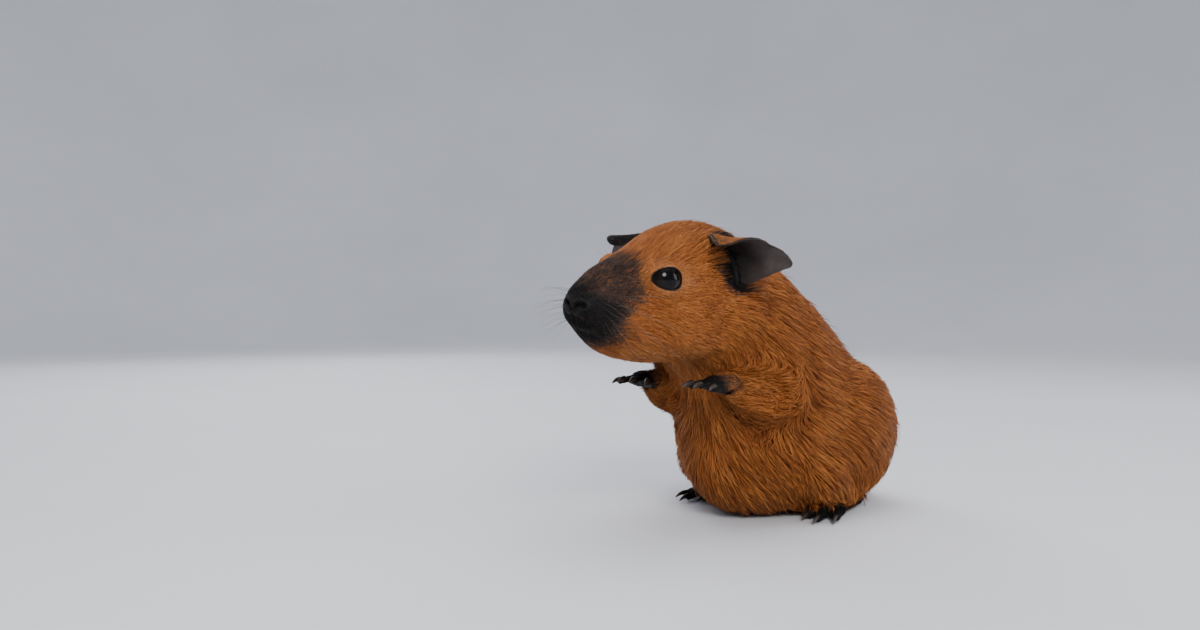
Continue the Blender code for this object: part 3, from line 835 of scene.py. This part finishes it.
def tuft_map(steps):
    """Places of the faces' corners on one tuft's patch: three strips side by side, from root to tip."""
    tip = 3 * steps - 2
    corners = []
    for face in tuft_faces(steps):
        sides = sorted({(point - 1) % 3 for point in face if 0 < point < tip})
        strip = 2 if sides == [0, 2] else sides[0]
        for point in face:
            if point in (0, tip):
                corners.append(((strip + 0.5) / 3, float(point > 0)))
            else:
                right = (point - 1) % 3 == (strip + 1) % 3
                corners.append(((strip + right) / 3, RINGS[steps][0][(point - 1) // 3]))
    return np.array(corners).reshape(-1, 3, 2)


def tufts_mesh(name, paths, widths, ups, looks, roots_uv, flat=0.5):
    """One mesh of closed tufts. Paths holds the points of each tuft, from root to tip."""
    count, steps = len(paths), paths.shape[1] - 1
    rings, waist = (np.array(row) for row in RINGS[steps])
    way = unit(np.gradient(paths, axis=1))
    across = unit(np.cross(way, ups))
    over = np.cross(across, way)
    half = widths[:, None, None] / 2 * waist[:, None]
    middle, side, up = paths[:, 1:-1], across[:, 1:-1] * half, over[:, 1:-1] * half
    ring = np.stack((middle - side - up * 0.3, middle + up * flat, middle + side - up * 0.3), axis=2)
    points = np.concatenate((paths[:, :1], ring.reshape(count, -1, 3), paths[:, -1:]), axis=1)
    per = points.shape[1]
    points = points.reshape(-1, 3)
    faces, corners = tuft_faces(steps), tuft_map(steps)
    triangles = (np.arange(count)[:, None, None] * per + faces).reshape(-1, 3)
    if volume(points, triangles[: len(faces) * min(count, 50)]) < 0:
        triangles, corners = triangles[:, ::-1], corners[:, ::-1]
    mesh = new_mesh(name, points, triangles)
    along = np.concatenate(([0.0], np.repeat(rings, 3), [1.0]))
    beside = np.concatenate(([0.5], np.tile((0.0, 0.5, 1.0), len(rings)), [0.5]))
    strand = np.stack(np.broadcast_arrays(beside, along, looks["tone"][:, None] * STREAK_GAP), axis=-1)
    store(mesh, "along", np.tile(along, count))
    for key, values in looks.items():
        store(mesh, key, np.repeat(values, per))
    store(mesh, "strand", strand.reshape(-1, 3))
    patch = (corners.reshape(-1, 2) - 0.5) * TUFT_PATCH
    places = np.clip(roots_uv, 0.002, 0.998)[:, None] + patch
    layer = mesh.uv_layers.new(name="OFBake")
    layer.uv.foreach_set("vector", places.astype(np.float32).ravel())
    return link(name, mesh)


def sow(surface, faces, density):
    """Root places scattered evenly over the faces: their face numbers and shares of the corners."""
    wanted = surface.areas()[faces] * density[surface.triangles[faces]].mean(axis=1)
    total = np.cumsum(wanted)
    count = int(total[-1])
    picks = np.searchsorted(total, (np.arange(count) + random.random(count)) * total[-1] / count)
    shares = random.random((count, 2))
    fold = shares.sum(axis=1) > 1
    shares[fold] = 1 - shares[fold]
    shares = np.column_stack((shares, 1 - shares.sum(axis=1)))
    return faces[np.clip(picks, 0, len(faces) - 1)], shares


def comb(surface, faces, shares, steps):
    """Paths of tufts that rise from their roots and then lie along the surface."""
    fields, count = surface.fields, len(faces)
    normal = unit(surface.at(surface.normals, faces, shares))
    place = surface.at(surface.points, faces, shares)
    length = surface.at(fields["length"], faces, shares) * random.uniform(0.72, 1.18, count) * MM
    depth = surface.at(fields["depth"], faces, shares) * MM
    wild = random.random(count)
    depth = depth * (0.4 + 0.65 * random.random(count) + 0.4 * (wild > 0.98))
    turn = STRAY * random.standard_normal(count) * (1 + 1.5 * (wild > 0.95))
    curl = CURL * random.standard_normal(count)
    knots = (0.0, *RINGS[steps][0], 1.0)
    path = [place - normal * ROOT_DEPTH * MM]
    on = (faces, shares)
    for before, after in zip(knots, knots[1:]):
        flow = laid(unit(surface.at(fields["flow"], *on)), normal)
        flow = turned(flow, normal, turn + curl * after * 3)
        place = place + unit(flow) * (length * (after - before) * 0.95)[:, None]
        place, face = nearest(surface.tree, place)
        on = (face, np.full((count, 3), 1 / 3))
        normal = unit(surface.at(surface.normals, *on))
        rise = 1 - (1 - after) ** 1.8
        path.append(place + normal * (depth * rise)[:, None])
    return np.stack(path, axis=1)


def gather_locks(paths, roots, normals, lock):
    """Draws tufts sideways into long locks, more towards their tips. Also tells each tuft's lock."""
    count = len(paths)
    leaders = random.permutation(count)[: max(LOCK_CHOICES, count // LOCK_SIZE)]
    tree = KDTree(len(leaders))
    for k, leader in enumerate(leaders):
        tree.insert(Vector(roots[leader]), k)
    tree.balance()
    near = leaders[[[item[1] for item in tree.find_n(Vector(root), LOCK_CHOICES)] for root in roots]]
    way = unit(paths[:, -1] - paths[:, 0])
    gaps = roots[near] - roots[:, None]
    along = (gaps * way[:, None]).sum(axis=2)
    score = (gaps**2).sum(axis=2) - along**2 * (1 - 1 / LOCK_STRETCH**2)
    chosen = near[np.arange(count), score.argmin(axis=1)]
    across = unit(np.cross(normals, way))
    aside = ((paths[chosen] - paths) * across[:, None]).sum(axis=2)
    pull = (lock * random.uniform(0.5, 1.3, count))[:, None] * np.linspace(0, 1, paths.shape[1]) ** 1.3
    moves = aside * np.clip(pull, 0, 0.9)
    return paths + across[:, None] * moves[..., None], chosen


def unwrapped(surface, faces):
    """A flat map of part of the surface: a place for each corner of each of its faces."""
    used, index = np.unique(surface.triangles[faces], return_inverse=True)
    patch = link("patch", new_mesh("patch", surface.points[used], index.reshape(-1, 3)))
    bpy.context.view_layer.objects.active = patch
    patch.select_set(True)
    patch.data.uv_layers.new(name="flat")
    bpy.ops.object.mode_set(mode="EDIT")
    bpy.ops.mesh.select_all(action="SELECT")
    bpy.ops.uv.smart_project(angle_limit=1.15, island_margin=0.004, scale_to_bounds=True)
    bpy.ops.object.mode_set(mode="OBJECT")
    places = values_of(patch.data.uv_layers["flat"].uv, "vector", 2)
    remove(patch)
    return places.reshape(-1, 3, 2)


def over_eye(paths):
    """Whether each tuft reaches into the eye's opening."""
    h = to_head(paths[:, 1:].reshape(-1, 3))
    inside = np.zeros(len(h), bool)
    for _, side in SIDES:
        share, distance = lid_share(h, side)
        inside |= (share < 1.12) & (distance < NEAR_EYE)
    return inside.reshape(len(paths), -1).any(axis=1)


def coat_piece(name, surface, faces, steps, slot):
    """Grows the coat on some of the surface's faces, as one piece."""
    flat_map = unwrapped(surface, faces)
    number = np.full(len(surface.triangles), -1)
    number[faces] = np.arange(len(faces))
    roots, shares = sow(surface, faces, surface.fields["density"] * DENSITY)
    count = len(roots)
    keys = ("length", "width", "lock", "dark", "pale")
    at_roots = {key: surface.at(surface.fields[key], roots, shares) for key in keys}
    start = surface.at(surface.points, roots, shares)
    normal = surface.at(surface.normals, roots, shares)
    paths = comb(surface, roots, shares, steps)
    paths, chosen = gather_locks(paths, start, normal, at_roots["lock"])
    blocked = over_eye(paths)
    paths[blocked] = paths[blocked, :1] + (paths[blocked] - paths[blocked, :1]) * 0.4
    clear = ~over_eye(paths)
    paths[..., 2] = np.maximum(paths[..., 2], HAIR_FLOOR * MM)
    tone = 0.5 + 0.10 * random.standard_normal(count) + 0.12 * noise(start, 9.0)
    contrast = 0.11 + 0.06 * ramp(at_roots["length"], 5.0, 11.0)
    looks = {"tone": tone + contrast * random.standard_normal(count)[chosen]}
    width = at_roots["width"] * random.uniform(0.7, 1.25, count) * MM / math.sqrt(DENSITY)
    looks["dark"] = at_roots["dark"] + 0.16 * random.standard_normal(count) * at_roots["dark"] ** 0.5
    looks["pale"] = at_roots["pale"] + 0.12 * random.standard_normal(count)
    looks = {key: np.clip(values, 0, 1)[clear] for key, values in looks.items()}
    ups = unit(normal + 0.22 * random.standard_normal(normal.shape))[:, None] * np.ones((1, steps + 1, 1))
    places = (flat_map[number[roots]] * shares[..., None]).sum(axis=1)
    piece = tufts_mesh(name, paths[clear], width[clear], ups[clear], looks, places[clear])
    finish_piece(piece, slot, "coat")


def finish_piece(piece, slot, *materials, nodes=()):
    """Gives a piece its materials and its body, and hides the nodes that it stands for. The slot argument is
    not used.
    """
    for material in materials:
        piece.data.materials.append(MATERIALS[material])
    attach(piece, "root")
    if nodes:
        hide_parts(*nodes)


def grow_coat(surface):
    """The whole coat, in pieces of roughly TUFT_LIMIT triangles or fewer each."""
    corners = surface.triangles
    labels = surface.fields["weights"][corners].sum(axis=1).argmax(axis=1)
    centres = surface.points[corners].mean(axis=1)
    wanted = surface.areas() * surface.fields["density"][corners].mean(axis=1)
    for name, (regions, steps, least, slot) in COAT_PIECES.items():
        faces = np.flatnonzero(np.isin(labels, [REGIONS.index(region) for region in regions]))
        parts = max(least, math.ceil(wanted[faces].sum() * len(tuft_faces(steps)) / TUFT_LIMIT))
        order = centres[faces, 1] if parts == 2 else centres[faces, 0]
        which = np.searchsorted(np.quantile(order, np.linspace(0, 1, parts + 1)[1:-1]), order)
        for part in range(parts):
            coat_piece(f"coat_{name}_{part + 1}", surface, faces[which == part], steps, slot)


def ear_hair(side_name, side):
    """Short hair on the back of the ear, thin at its tip, and inside its root."""
    points, triangles, places = ear_grid(side)
    surface = Surface(points, triangles, normals_of_points(points, triangles))
    u, v, face = places.T
    inner = face < 0
    way = np.array(ear_matrix(side))[:3, :3] @ (1.0, 0.25, -0.25)
    # Painted shade on the front edge of the far ear only.
    edge = EAR_EDGE_SHADE[side] * ramp(-v, 0.0, 0.7)
    surface.fields = {
        "flow": unit(laid(way, surface.normals)),
        "length": 3.6 - 2.0 * u,
        "width": np.full_like(u, 0.17),
        "depth": 0.55 - 0.3 * u,
        "density": np.where(inner, 5.0 * (1 - ramp(u, 0.12, 0.42)), 9.5 - 8.0 * ramp(u, 0.2, 0.9)),
        "lock": np.full_like(u, 0.3),
        # Inside the ear's root the hair is nearly black, as painted shade in the ear's hollow.
        "dark": np.where(inner, 0.95, np.maximum(edge, 0.28 + 0.72 * ramp(u, 0.32, 0.66))),
        "pale": np.where(inner, 0.0, 0.3 * (1 - u)),
    }
    coat_piece(f"coat_ear_{side_name}", surface, np.arange(len(triangles)), 2, "ear_skin")


# ---- materials

ORANGE_DEEP = (0.110, 0.025, 0.0040)
ORANGE = (0.25, 0.066, 0.0100)
GOLD = (0.44, 0.155, 0.034)
BROWN = (0.052, 0.028, 0.020)
BLACK = (0.0028, 0.0024, 0.0026)
PALE = (0.48, 0.24, 0.11)
NO_LIGHT = (0.0, 0.0, 0.0)
PUPIL = (0.0015, 0.0015, 0.002)
# Near black that each ear's skin is darkened towards at its root, as painted shade.
EAR_ROOT_SHADE = (0.006, 0.0045, 0.004)
# Colour ramps, as places and colours.
FUR = ((0.08, ORANGE_DEEP), (0.45, ORANGE), (0.95, GOLD))
BARE_SKIN = ((0.3, (0.003, 0.0025, 0.0025)), (0.7, (0.009, 0.007, 0.007)))
EAR_SKIN = ((0.3, (0.022, 0.016, 0.015)), (0.55, (0.048, 0.036, 0.034)), (0.8, (0.085, 0.062, 0.056)))
IRIS = ((0.3, (0.002, 0.0013, 0.0012)), (0.7, (0.009, 0.0045, 0.003)))
PUPIL_EDGE = ((0.40, NO_LIGHT), (0.47, (1.0, 1.0, 1.0)))
HORN = ((0.2, (0.008, 0.006, 0.005)), (0.75, (0.025, 0.017, 0.013)), (1.0, (0.055, 0.038, 0.028)))
WHISKER = ((0.1, (0.02, 0.015, 0.012)), (1.0, (0.16, 0.12, 0.09)))
FLOOR = ((0.3, (0.60, 0.61, 0.64)), (0.7, (0.65, 0.66, 0.69)))

MATERIALS = {}


def shader(name, roughness, specular):
    """The node tree of a new material, with these constants set on its shader."""
    MATERIALS[name] = bpy.data.materials.new(name)
    MATERIALS[name].use_nodes = True
    tree = MATERIALS[name].node_tree
    main = tree.nodes["Principled BSDF"]
    main.inputs["Roughness"].default_value = roughness
    main.inputs["Specular IOR Level"].default_value = specular
    return tree


def wire(tree, inputs, key, value):
    """Sets a node's input to a number or a colour, or links it to another node's output."""
    if isinstance(value, bpy.types.NodeSocket):
        tree.links.new(value, inputs[key])
    else:
        inputs[key].default_value = (*value, 1.0) if inputs[key].type == "RGBA" else value


def node(tree, kind, inputs, output=0, **settings):
    """A new node's output, from its settings and its inputs."""
    made = tree.nodes.new("ShaderNode" + kind)
    for key, value in settings.items():
        setattr(made, key, value)
    for key, value in inputs.items():
        wire(tree, made.inputs, key, value)
    return made.outputs[output]


def finish(tree, colour, height=None, strength=0.0, distance=0.0):
    """Links the colour to the shader, and the height as a bump."""
    inputs = tree.nodes["Principled BSDF"].inputs
    wire(tree, inputs, "Base Color", colour)
    if height is not None:
        bump = node(tree, "Bump", {"Height": height, "Strength": strength, "Distance": distance})
        wire(tree, inputs, "Normal", bump)


def attribute(tree, name, output="Fac"):
    return node(tree, "Attribute", {}, output, attribute_name=name)


def mixed(tree, share, first, second):
    """Two colours mixed. Each is a colour or another node's output."""
    return node(tree, "Mix", {0: share, 6: first, 7: second}, 2, data_type="RGBA")


def textured(tree, scale, detail=3.0, roughness=0.55, along=None, stretch=(1.0, 1.0, 1.0)):
    """Noise over the object, or along the named attribute of its hairs."""
    place = attribute(tree, along, "Vector") if along else node(tree, "TexCoord", {}, "Object")
    place = node(tree, "Mapping", {"Vector": place, "Scale": stretch})
    inputs = {"Vector": place, "Scale": scale, "Detail": detail, "Roughness": roughness}
    return node(tree, "TexNoise", inputs, "Fac")


def ramped(tree, value, stops):
    """A colour ramp of (place, colour) stops."""
    colour = node(tree, "ValToRGB", {"Fac": value}, "Color")
    elements = colour.node.color_ramp.elements
    while len(elements) < len(stops):
        elements.new(0.5)
    for element, (place, stop) in zip(elements, stops):
        element.position = place
        element.color = (*stop, 1.0)
    return colour


def mapped(tree, value, low, high, start=0.0, end=1.0):
    """The value from low to high, turned into start to end."""
    inputs = {"Value": value, "From Min": low, "From Max": high, "To Min": start, "To Max": end}
    return node(tree, "MapRange", inputs)


def sum_of(tree, total, *terms):
    """total, and each term times its factor."""
    for term, factor in terms:
        total = node(tree, "Math", {0: term, 1: factor, 2: total}, operation="MULTIPLY_ADD")
    return total


def coat_colour(tree, tone, along):
    """The coat's colour, from its markings and from a tone and place along the hair."""
    # Along each hair the colour darkens towards the root: partly the hair's own colour, partly painted shade at
    # the roots inside the coat. The grizzle's light tips are the hair's own colour.
    value = sum_of(tree, -0.18, (tone, 0.75), (along, 0.42), (textured(tree, 38.0, 2.0), 0.30))
    pale = mixed(tree, attribute(tree, "pale"), ramped(tree, value, FUR), mixed(tree, tone, PALE, GOLD))
    grizzle = sum_of(tree, 0.06, (attribute(tree, "dark"), 1.0), (tone, -0.34), (along, -0.20))
    brown = mixed(tree, mapped(tree, grizzle, -0.05, 0.27), pale, BROWN)
    return mixed(tree, mapped(tree, grizzle, 0.34, 0.62), brown, BLACK)


def make_coat():
    """Hair, streaked along its length, and rougher where it is dark."""
    tree = shader("coat", 0.55, 0.2)
    hairs = textured(tree, 1.0, 2.0, 0.6, "strand", (9.0, 1.1, 1.0))
    fine = sum_of(tree, -0.2, (attribute(tree, "tone"), 1.0), (hairs, 0.4))
    finish(tree, coat_colour(tree, fine, attribute(tree, "along")), hairs, 0.35, 0.0001)
    rough = mapped(tree, attribute(tree, "dark"), 0.0, 1.0, 0.5, 0.72)
    wire(tree, tree.nodes["Principled BSDF"].inputs, "Roughness", rough)


def make_skin():
    """Skin under the coat, in the coat's colours and darkened towards black as painted shade in the gaps
    between the tufts.
    """
    tree = shader("skin", 0.75, 0.25)
    short = textured(tree, 900.0, 3.0, 0.6)
    # Painted shade: the coat's colour is mixed 0.28 of the way to black, so the skin showing between tufts
    # reads as shade.
    colour = mixed(tree, 0.28, coat_colour(tree, short, short), NO_LIGHT)
    finish(tree, colour, textured(tree, 1600.0, 4.0), 0.5, 0.0002)


def make_bare():
    """Bare black skin of the nose, lips, lids and soles, pebbled and a little moist."""
    tree = shader("bare_skin", 0.6, 0.15)
    cells = node(tree, "TexVoronoi", {"Scale": 2600.0}, "Distance")
    finish(tree, ramped(tree, textured(tree, 700.0), BARE_SKIN), cells, 0.35, 0.00012)


def make_ear():
    """Thin dark skin, mottled, and darkened towards the root as painted shade."""
    tree = shader("ear_skin", 0.6, 0.3)
    mottle = textured(tree, 160.0, 4.0)
    # Painted shade: the nearer an ear point is to the root, the more of the near-black shade colour it takes.
    shade = mapped(tree, attribute(tree, "pale"), 0.0, 1.0, 0.92, 0.0)
    colour = mixed(tree, shade, ramped(tree, mottle, EAR_SKIN), EAR_ROOT_SHADE)
    finish(tree, colour, sum_of(tree, textured(tree, 1500.0, 5.0, 0.65), (mottle, 1.5)), 0.4, 0.00025)


def make_eye():
    """A black pupil in a very dark brown iris, under a wet surface."""
    tree = shader("eye", 0.035, 0.17)
    streaks = textured(tree, 1.0, 4.0, 0.6, "iris", (26.0, 1.5, 1.0))
    share = ramped(tree, attribute(tree, "centre"), PUPIL_EDGE)
    colour = mixed(tree, share, PUPIL, ramped(tree, streaks, IRIS))
    finish(tree, colour, textured(tree, 300.0, 2.0), 0.02, 0.0001)


def make_horn():
    """Claws, grained along their length and paler at the tip."""
    tree = shader("claw", 0.42, 0.25)
    grain = textured(tree, 1.0, 3.0, 0.6, "strand", (14.0, 2.0, 1.0))
    value = sum_of(tree, attribute(tree, "along"), (grain, 0.35))
    finish(tree, ramped(tree, value, HORN), grain, 0.3, 0.00008)


def make_whisker():
    tree = shader("whisker", 0.5, 0.2)
    value = sum_of(tree, attribute(tree, "along"), (attribute(tree, "tone"), 0.3))
    finish(tree, ramped(tree, value, WHISKER))


# ---- pieces


def join_arrays(parts):
    """One set of points and triangles from several."""
    points, triangles, start = [], [], 0
    for some, faces in parts:
        points.append(some)
        triangles.append(faces + start)
        start += len(some)
    return np.concatenate(points), np.concatenate(triangles)


def make_skin_piece(base):
    """The skin with ears and lid rims, as one piece that stands for all the flesh."""
    fine = fine_skin(base)
    mesh = fine.data
    points, triangles, edges = points_of(mesh), triangles_of(mesh), edges_of(mesh)
    remove(fine)
    weights = region_weights(points, edges)
    ears = [ear_grid(side) for _, side in SIDES]
    rims = [lid_rim(side) for _, side in SIDES]
    all_points, all_triangles = join_arrays([(points, triangles), *(ear[:2] for ear in ears), *rims])
    sole = (of_feet(weights) > 0.5) & (normals_of_points(points, triangles)[:, 2] < -0.45)
    bare = sole | (bare_share(to_head(points)) > 0.5)
    kinds = [bare[triangles].sum(axis=1) > 1]
    kinds += [np.full(len(ear[1]), 2) for ear in ears] + [np.full(len(faces), 1) for _, faces in rims]
    # For each ear point, 0 at the root and rising towards the tip and edges; kept as pale, it drives the
    # painted shade at the ear's root.
    light = [ramp(ear[2][:, 0] + 0.15 * np.abs(ear[2][:, 1]), 0.45, 0.9) for ear in ears]
    dark, pale = markings(points, weights, edges)
    rest = len(all_points) - len(points)
    mesh = new_mesh("skin", all_points, all_triangles)
    store(mesh, "dark", np.concatenate((dark, np.ones(rest))))
    store(mesh, "pale", np.concatenate((pale, *light, np.zeros(rest - sum(map(len, light))))))
    skin = link("skin", mesh)
    ear_nodes = [f"ear_{side_name}" for side_name, _ in SIDES]
    finish_piece(skin, "coat", "skin", "bare_skin", "ear_skin", nodes=FLESH + ear_nodes)
    mesh.polygons.foreach_set("material_index", np.concatenate(kinds).astype(np.int32))


def normals_of_points(points, triangles):
    a, b, c = (points[triangles[:, k]] for k in range(3))
    face = np.cross(b - a, c - a)
    total = np.zeros_like(points)
    for k in range(3):
        for axis in range(3):
            total[:, axis] += np.bincount(triangles[:, k], face[:, axis], len(points))
    return unit(total)


def make_eye_piece(side_name, side):
    """The eyeball, with a cornea that stands a little proud."""
    part = bmesh.new()
    bmesh.ops.create_uvsphere(part, u_segments=64, v_segments=40, radius=1.0)
    bmesh.ops.triangulate(part, faces=part.faces)
    mesh = mesh_from(part, f"eyeball_{side_name}")
    way = points_of(mesh)
    gap = np.hypot(way[:, 0], way[:, 1])
    cornea = 0.22 * ramp(way[:, 2], 0.45, 0.95)
    ball = (way * (EYE_RADIUS - 0.05 + cornea)[:, None]) @ np.array(lid_axes(side))
    set_points(mesh, to_row(ball + on_side(EYE_CENTRE, side)))
    store(mesh, "centre", np.where(way[:, 2] > 0, gap, 1.0))
    store(mesh, "iris", np.column_stack((np.arctan2(way[:, 1], way[:, 0]), gap, 0 * gap)))
    mesh.shade_smooth()
    if side < 0:
        mesh.flip_normals()
    finish_piece(link(mesh.name, mesh), "eye", "eye", nodes=[f"eye_{side_name}"])


def make_claws():
    share = np.linspace(0, 1, CLAW_RINGS)
    along = np.append(np.repeat(share, CLAW_SIDES), (0.0, 1.0))
    around = np.linspace(0, 1, CLAW_SIDES, endpoint=False)
    around = np.append(np.tile(around, CLAW_RINGS), (0.5, 0.5))
    for name in sorted(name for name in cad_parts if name.startswith("claw")):
        _, limb, side_name, _ = name.split("_")
        mesh = new_mesh("horn_" + name, *claw(name, f"{limb}foot_{side_name}"))
        store(mesh, "along", along)
        store(mesh, "strand", np.column_stack((around, along, np.full_like(along, len(mesh.name)))))
        finish_piece(link(mesh.name, mesh), "claw", "claw", nodes=[name])


def make_whiskers(skin_tree):
    """Whiskers in rows on each pad, and a few over each eye."""
    rows = []  # root, direction, length and width in mm, on the left side
    for row in range(5):
        for column in range(4):
            root = (4.6 + 2.1 * column + 0.4 * row, -9.0, -6.0 - 2.0 * row + 0.25 * column)
            way = (-0.60 + 0.28 * column, -1.0, 0.14 - 0.16 * row)
            rows.append((root, way, 12.0 + 4.2 * column - 1.2 * abs(row - 2), 0.075 + 0.008 * column))
    for k in range(3):
        root = (21.5 + 1.7 * k, -10.5, 6.3 + 0.5 * k)
        rows.append((root, (-0.1 + 0.35 * k, -1.0, 0.75), 6.5 + 1.0 * k, 0.075))
    share = np.linspace(0, 1, WHISKER_STEPS + 1)[:, None]
    paths, widths = [], []
    for _, side in SIDES:
        for root, way, length, width in rows:
            way = unit(way + 0.10 * random.standard_normal(3))
            length = length * random.uniform(0.85, 1.15)
            root = on_side(root + 0.25 * random.standard_normal(3), side)
            start = np.array(skin_tree.find_nearest(Vector(to_row(root)))[0])
            bend = np.array((0.16, 0.0, -0.20)) * random.uniform(0.5, 1.4)
            line = on_side(way, side) * share * length + bend * share**2 * length
            paths.append(start + line * MM @ TURN.T)
            widths.append(width * MM)
    count = len(paths)
    tones = random.random(count)
    roots_uv = np.column_stack((np.linspace(0.05, 0.95, count), tones * 0.8 + 0.1))
    ups = np.tile((0.0, 0.0, 1.0), (count, WHISKER_STEPS + 1, 1))
    looks = {"tone": tones}
    piece = tufts_mesh("whiskers", np.array(paths), np.array(widths), ups, looks, roots_uv, flat=1.6)
    finish_piece(piece, "dark_coat", "whisker")


# ---- stage, camera and light

CAMERA_AZIMUTH = -50.0
CAMERA_DISTANCE = 0.284  # from the near eye
CAMERA_ASIDE = 0.0109
CAMERA_HEIGHT = 0.0754
EYE_SIGHT = Vector((1.75, -0.74, 0.13)) * MM  # the point in the eye's opening that the camera is placed from
LENS = 28.5
SHIFT = (-0.026, -0.014)

# The floor is round and bends up all round into a wall, in metres.
FLOOR_REACH = 1.1
WALL_BEND = 0.9
WALL_HEIGHT = 3.0
BEND_STEPS = 16
WORLD = (0.66, 0.68, 0.735, 1.0)
WORLD_STRENGTH = 1.5
# Soft round lights: place and width in metres, watts, and colour.
LIGHTS = {
    "key": ((-0.60, -0.70, 0.62), 0.45, 10.5, (1.0, 0.97, 0.93)),
    "top": ((0.05, 0.0, 0.95), 0.8, 4.5, (1.0, 1.0, 1.0)),
    "fill": ((0.65, -0.75, 0.35), 0.6, 3.0, (0.95, 0.97, 1.0)),
    "rear": ((0.3, 0.8, 0.55), 0.6, 3.5, (1.0, 1.0, 1.0)),
}
LIT = Vector((0, 0, 0.06))  # the point that the lights face


def place_camera():
    azimuth = math.radians(CAMERA_AZIMUTH)
    right = Vector((math.cos(azimuth), math.sin(azimuth), 0.0))
    ahead = Vector((-math.sin(azimuth), math.cos(azimuth), 0.0))
    spot = middle_of("eye_left") + EYE_SIGHT - ahead * CAMERA_DISTANCE - right * CAMERA_ASIDE
    camera = link("camera", bpy.data.cameras.new("camera"))
    camera.location = (spot.x, spot.y, CAMERA_HEIGHT)
    camera.rotation_euler = (math.radians(90), 0.0, azimuth)
    camera.data.lens = LENS
    camera.data.sensor_width = 36.0
    camera.data.shift_x, camera.data.shift_y = SHIFT
    camera.data.clip_start = 0.005
    bpy.context.scene.camera = camera


def build_floor():
    profile = [(0.0, 0.0), (FLOOR_REACH, 0.0)]
    for step in range(1, BEND_STEPS + 1):
        angle = step / BEND_STEPS * math.pi / 2
        profile.append((FLOOR_REACH + WALL_BEND * math.sin(angle), WALL_BEND * (1 - math.cos(angle))))
    profile.append((FLOOR_REACH + WALL_BEND, WALL_HEIGHT))
    part = bmesh.new()
    line = [part.verts.new((x, 0, z)) for x, z in profile]
    edges = [part.edges.new(pair) for pair in zip(line, line[1:])]
    turn = {"cent": (0, 0, 0), "axis": (0, 0, 1), "dvec": (0, 0, 0), "angle": 2 * math.pi}
    bmesh.ops.spin(part, geom=line + edges, steps=96, **turn)
    bmesh.ops.remove_doubles(part, verts=part.verts, dist=1e-5)
    bmesh.ops.recalc_face_normals(part, faces=part.faces)
    mesh = mesh_from(part, "floor")
    mesh.shade_smooth()
    tree = shader("floor", 0.7, 0.5)
    finish(tree, ramped(tree, textured(tree, 3.0), FLOOR))
    mesh.materials.append(MATERIALS["floor"])
    floor = link("floor", mesh)


def light_stage():
    world = bpy.data.worlds.new("studio")
    world.use_nodes = True
    background = world.node_tree.nodes["Background"]
    background.inputs["Color"].default_value = WORLD
    background.inputs["Strength"].default_value = WORLD_STRENGTH
    bpy.context.scene.world = world
    for name, (place, size, power, colour) in LIGHTS.items():
        light = link(name, bpy.data.lights.new(name, "AREA"))
        light.data.shape = "DISK"
        light.data.size = size
        light.data.energy = power
        light.data.color = colour
        light.location = place
        light.rotation_euler = (LIT - Vector(place)).to_track_quat("-Z", "Y").to_euler()


# ---- all of it


place_camera()
build_floor()
light_stage()
for make in (make_coat, make_skin, make_bare, make_ear, make_eye, make_horn, make_whisker):
    make()
base = inset_skin(united_body())
make_skin_piece(base)
guide = guide_surface(base)
remove(base)
for side_name, side in SIDES:
    make_eye_piece(side_name, side)
make_claws()
make_whiskers(guide.tree)
grow_coat(guide)
for side_name, side in SIDES:
    ear_hair(side_name, side)
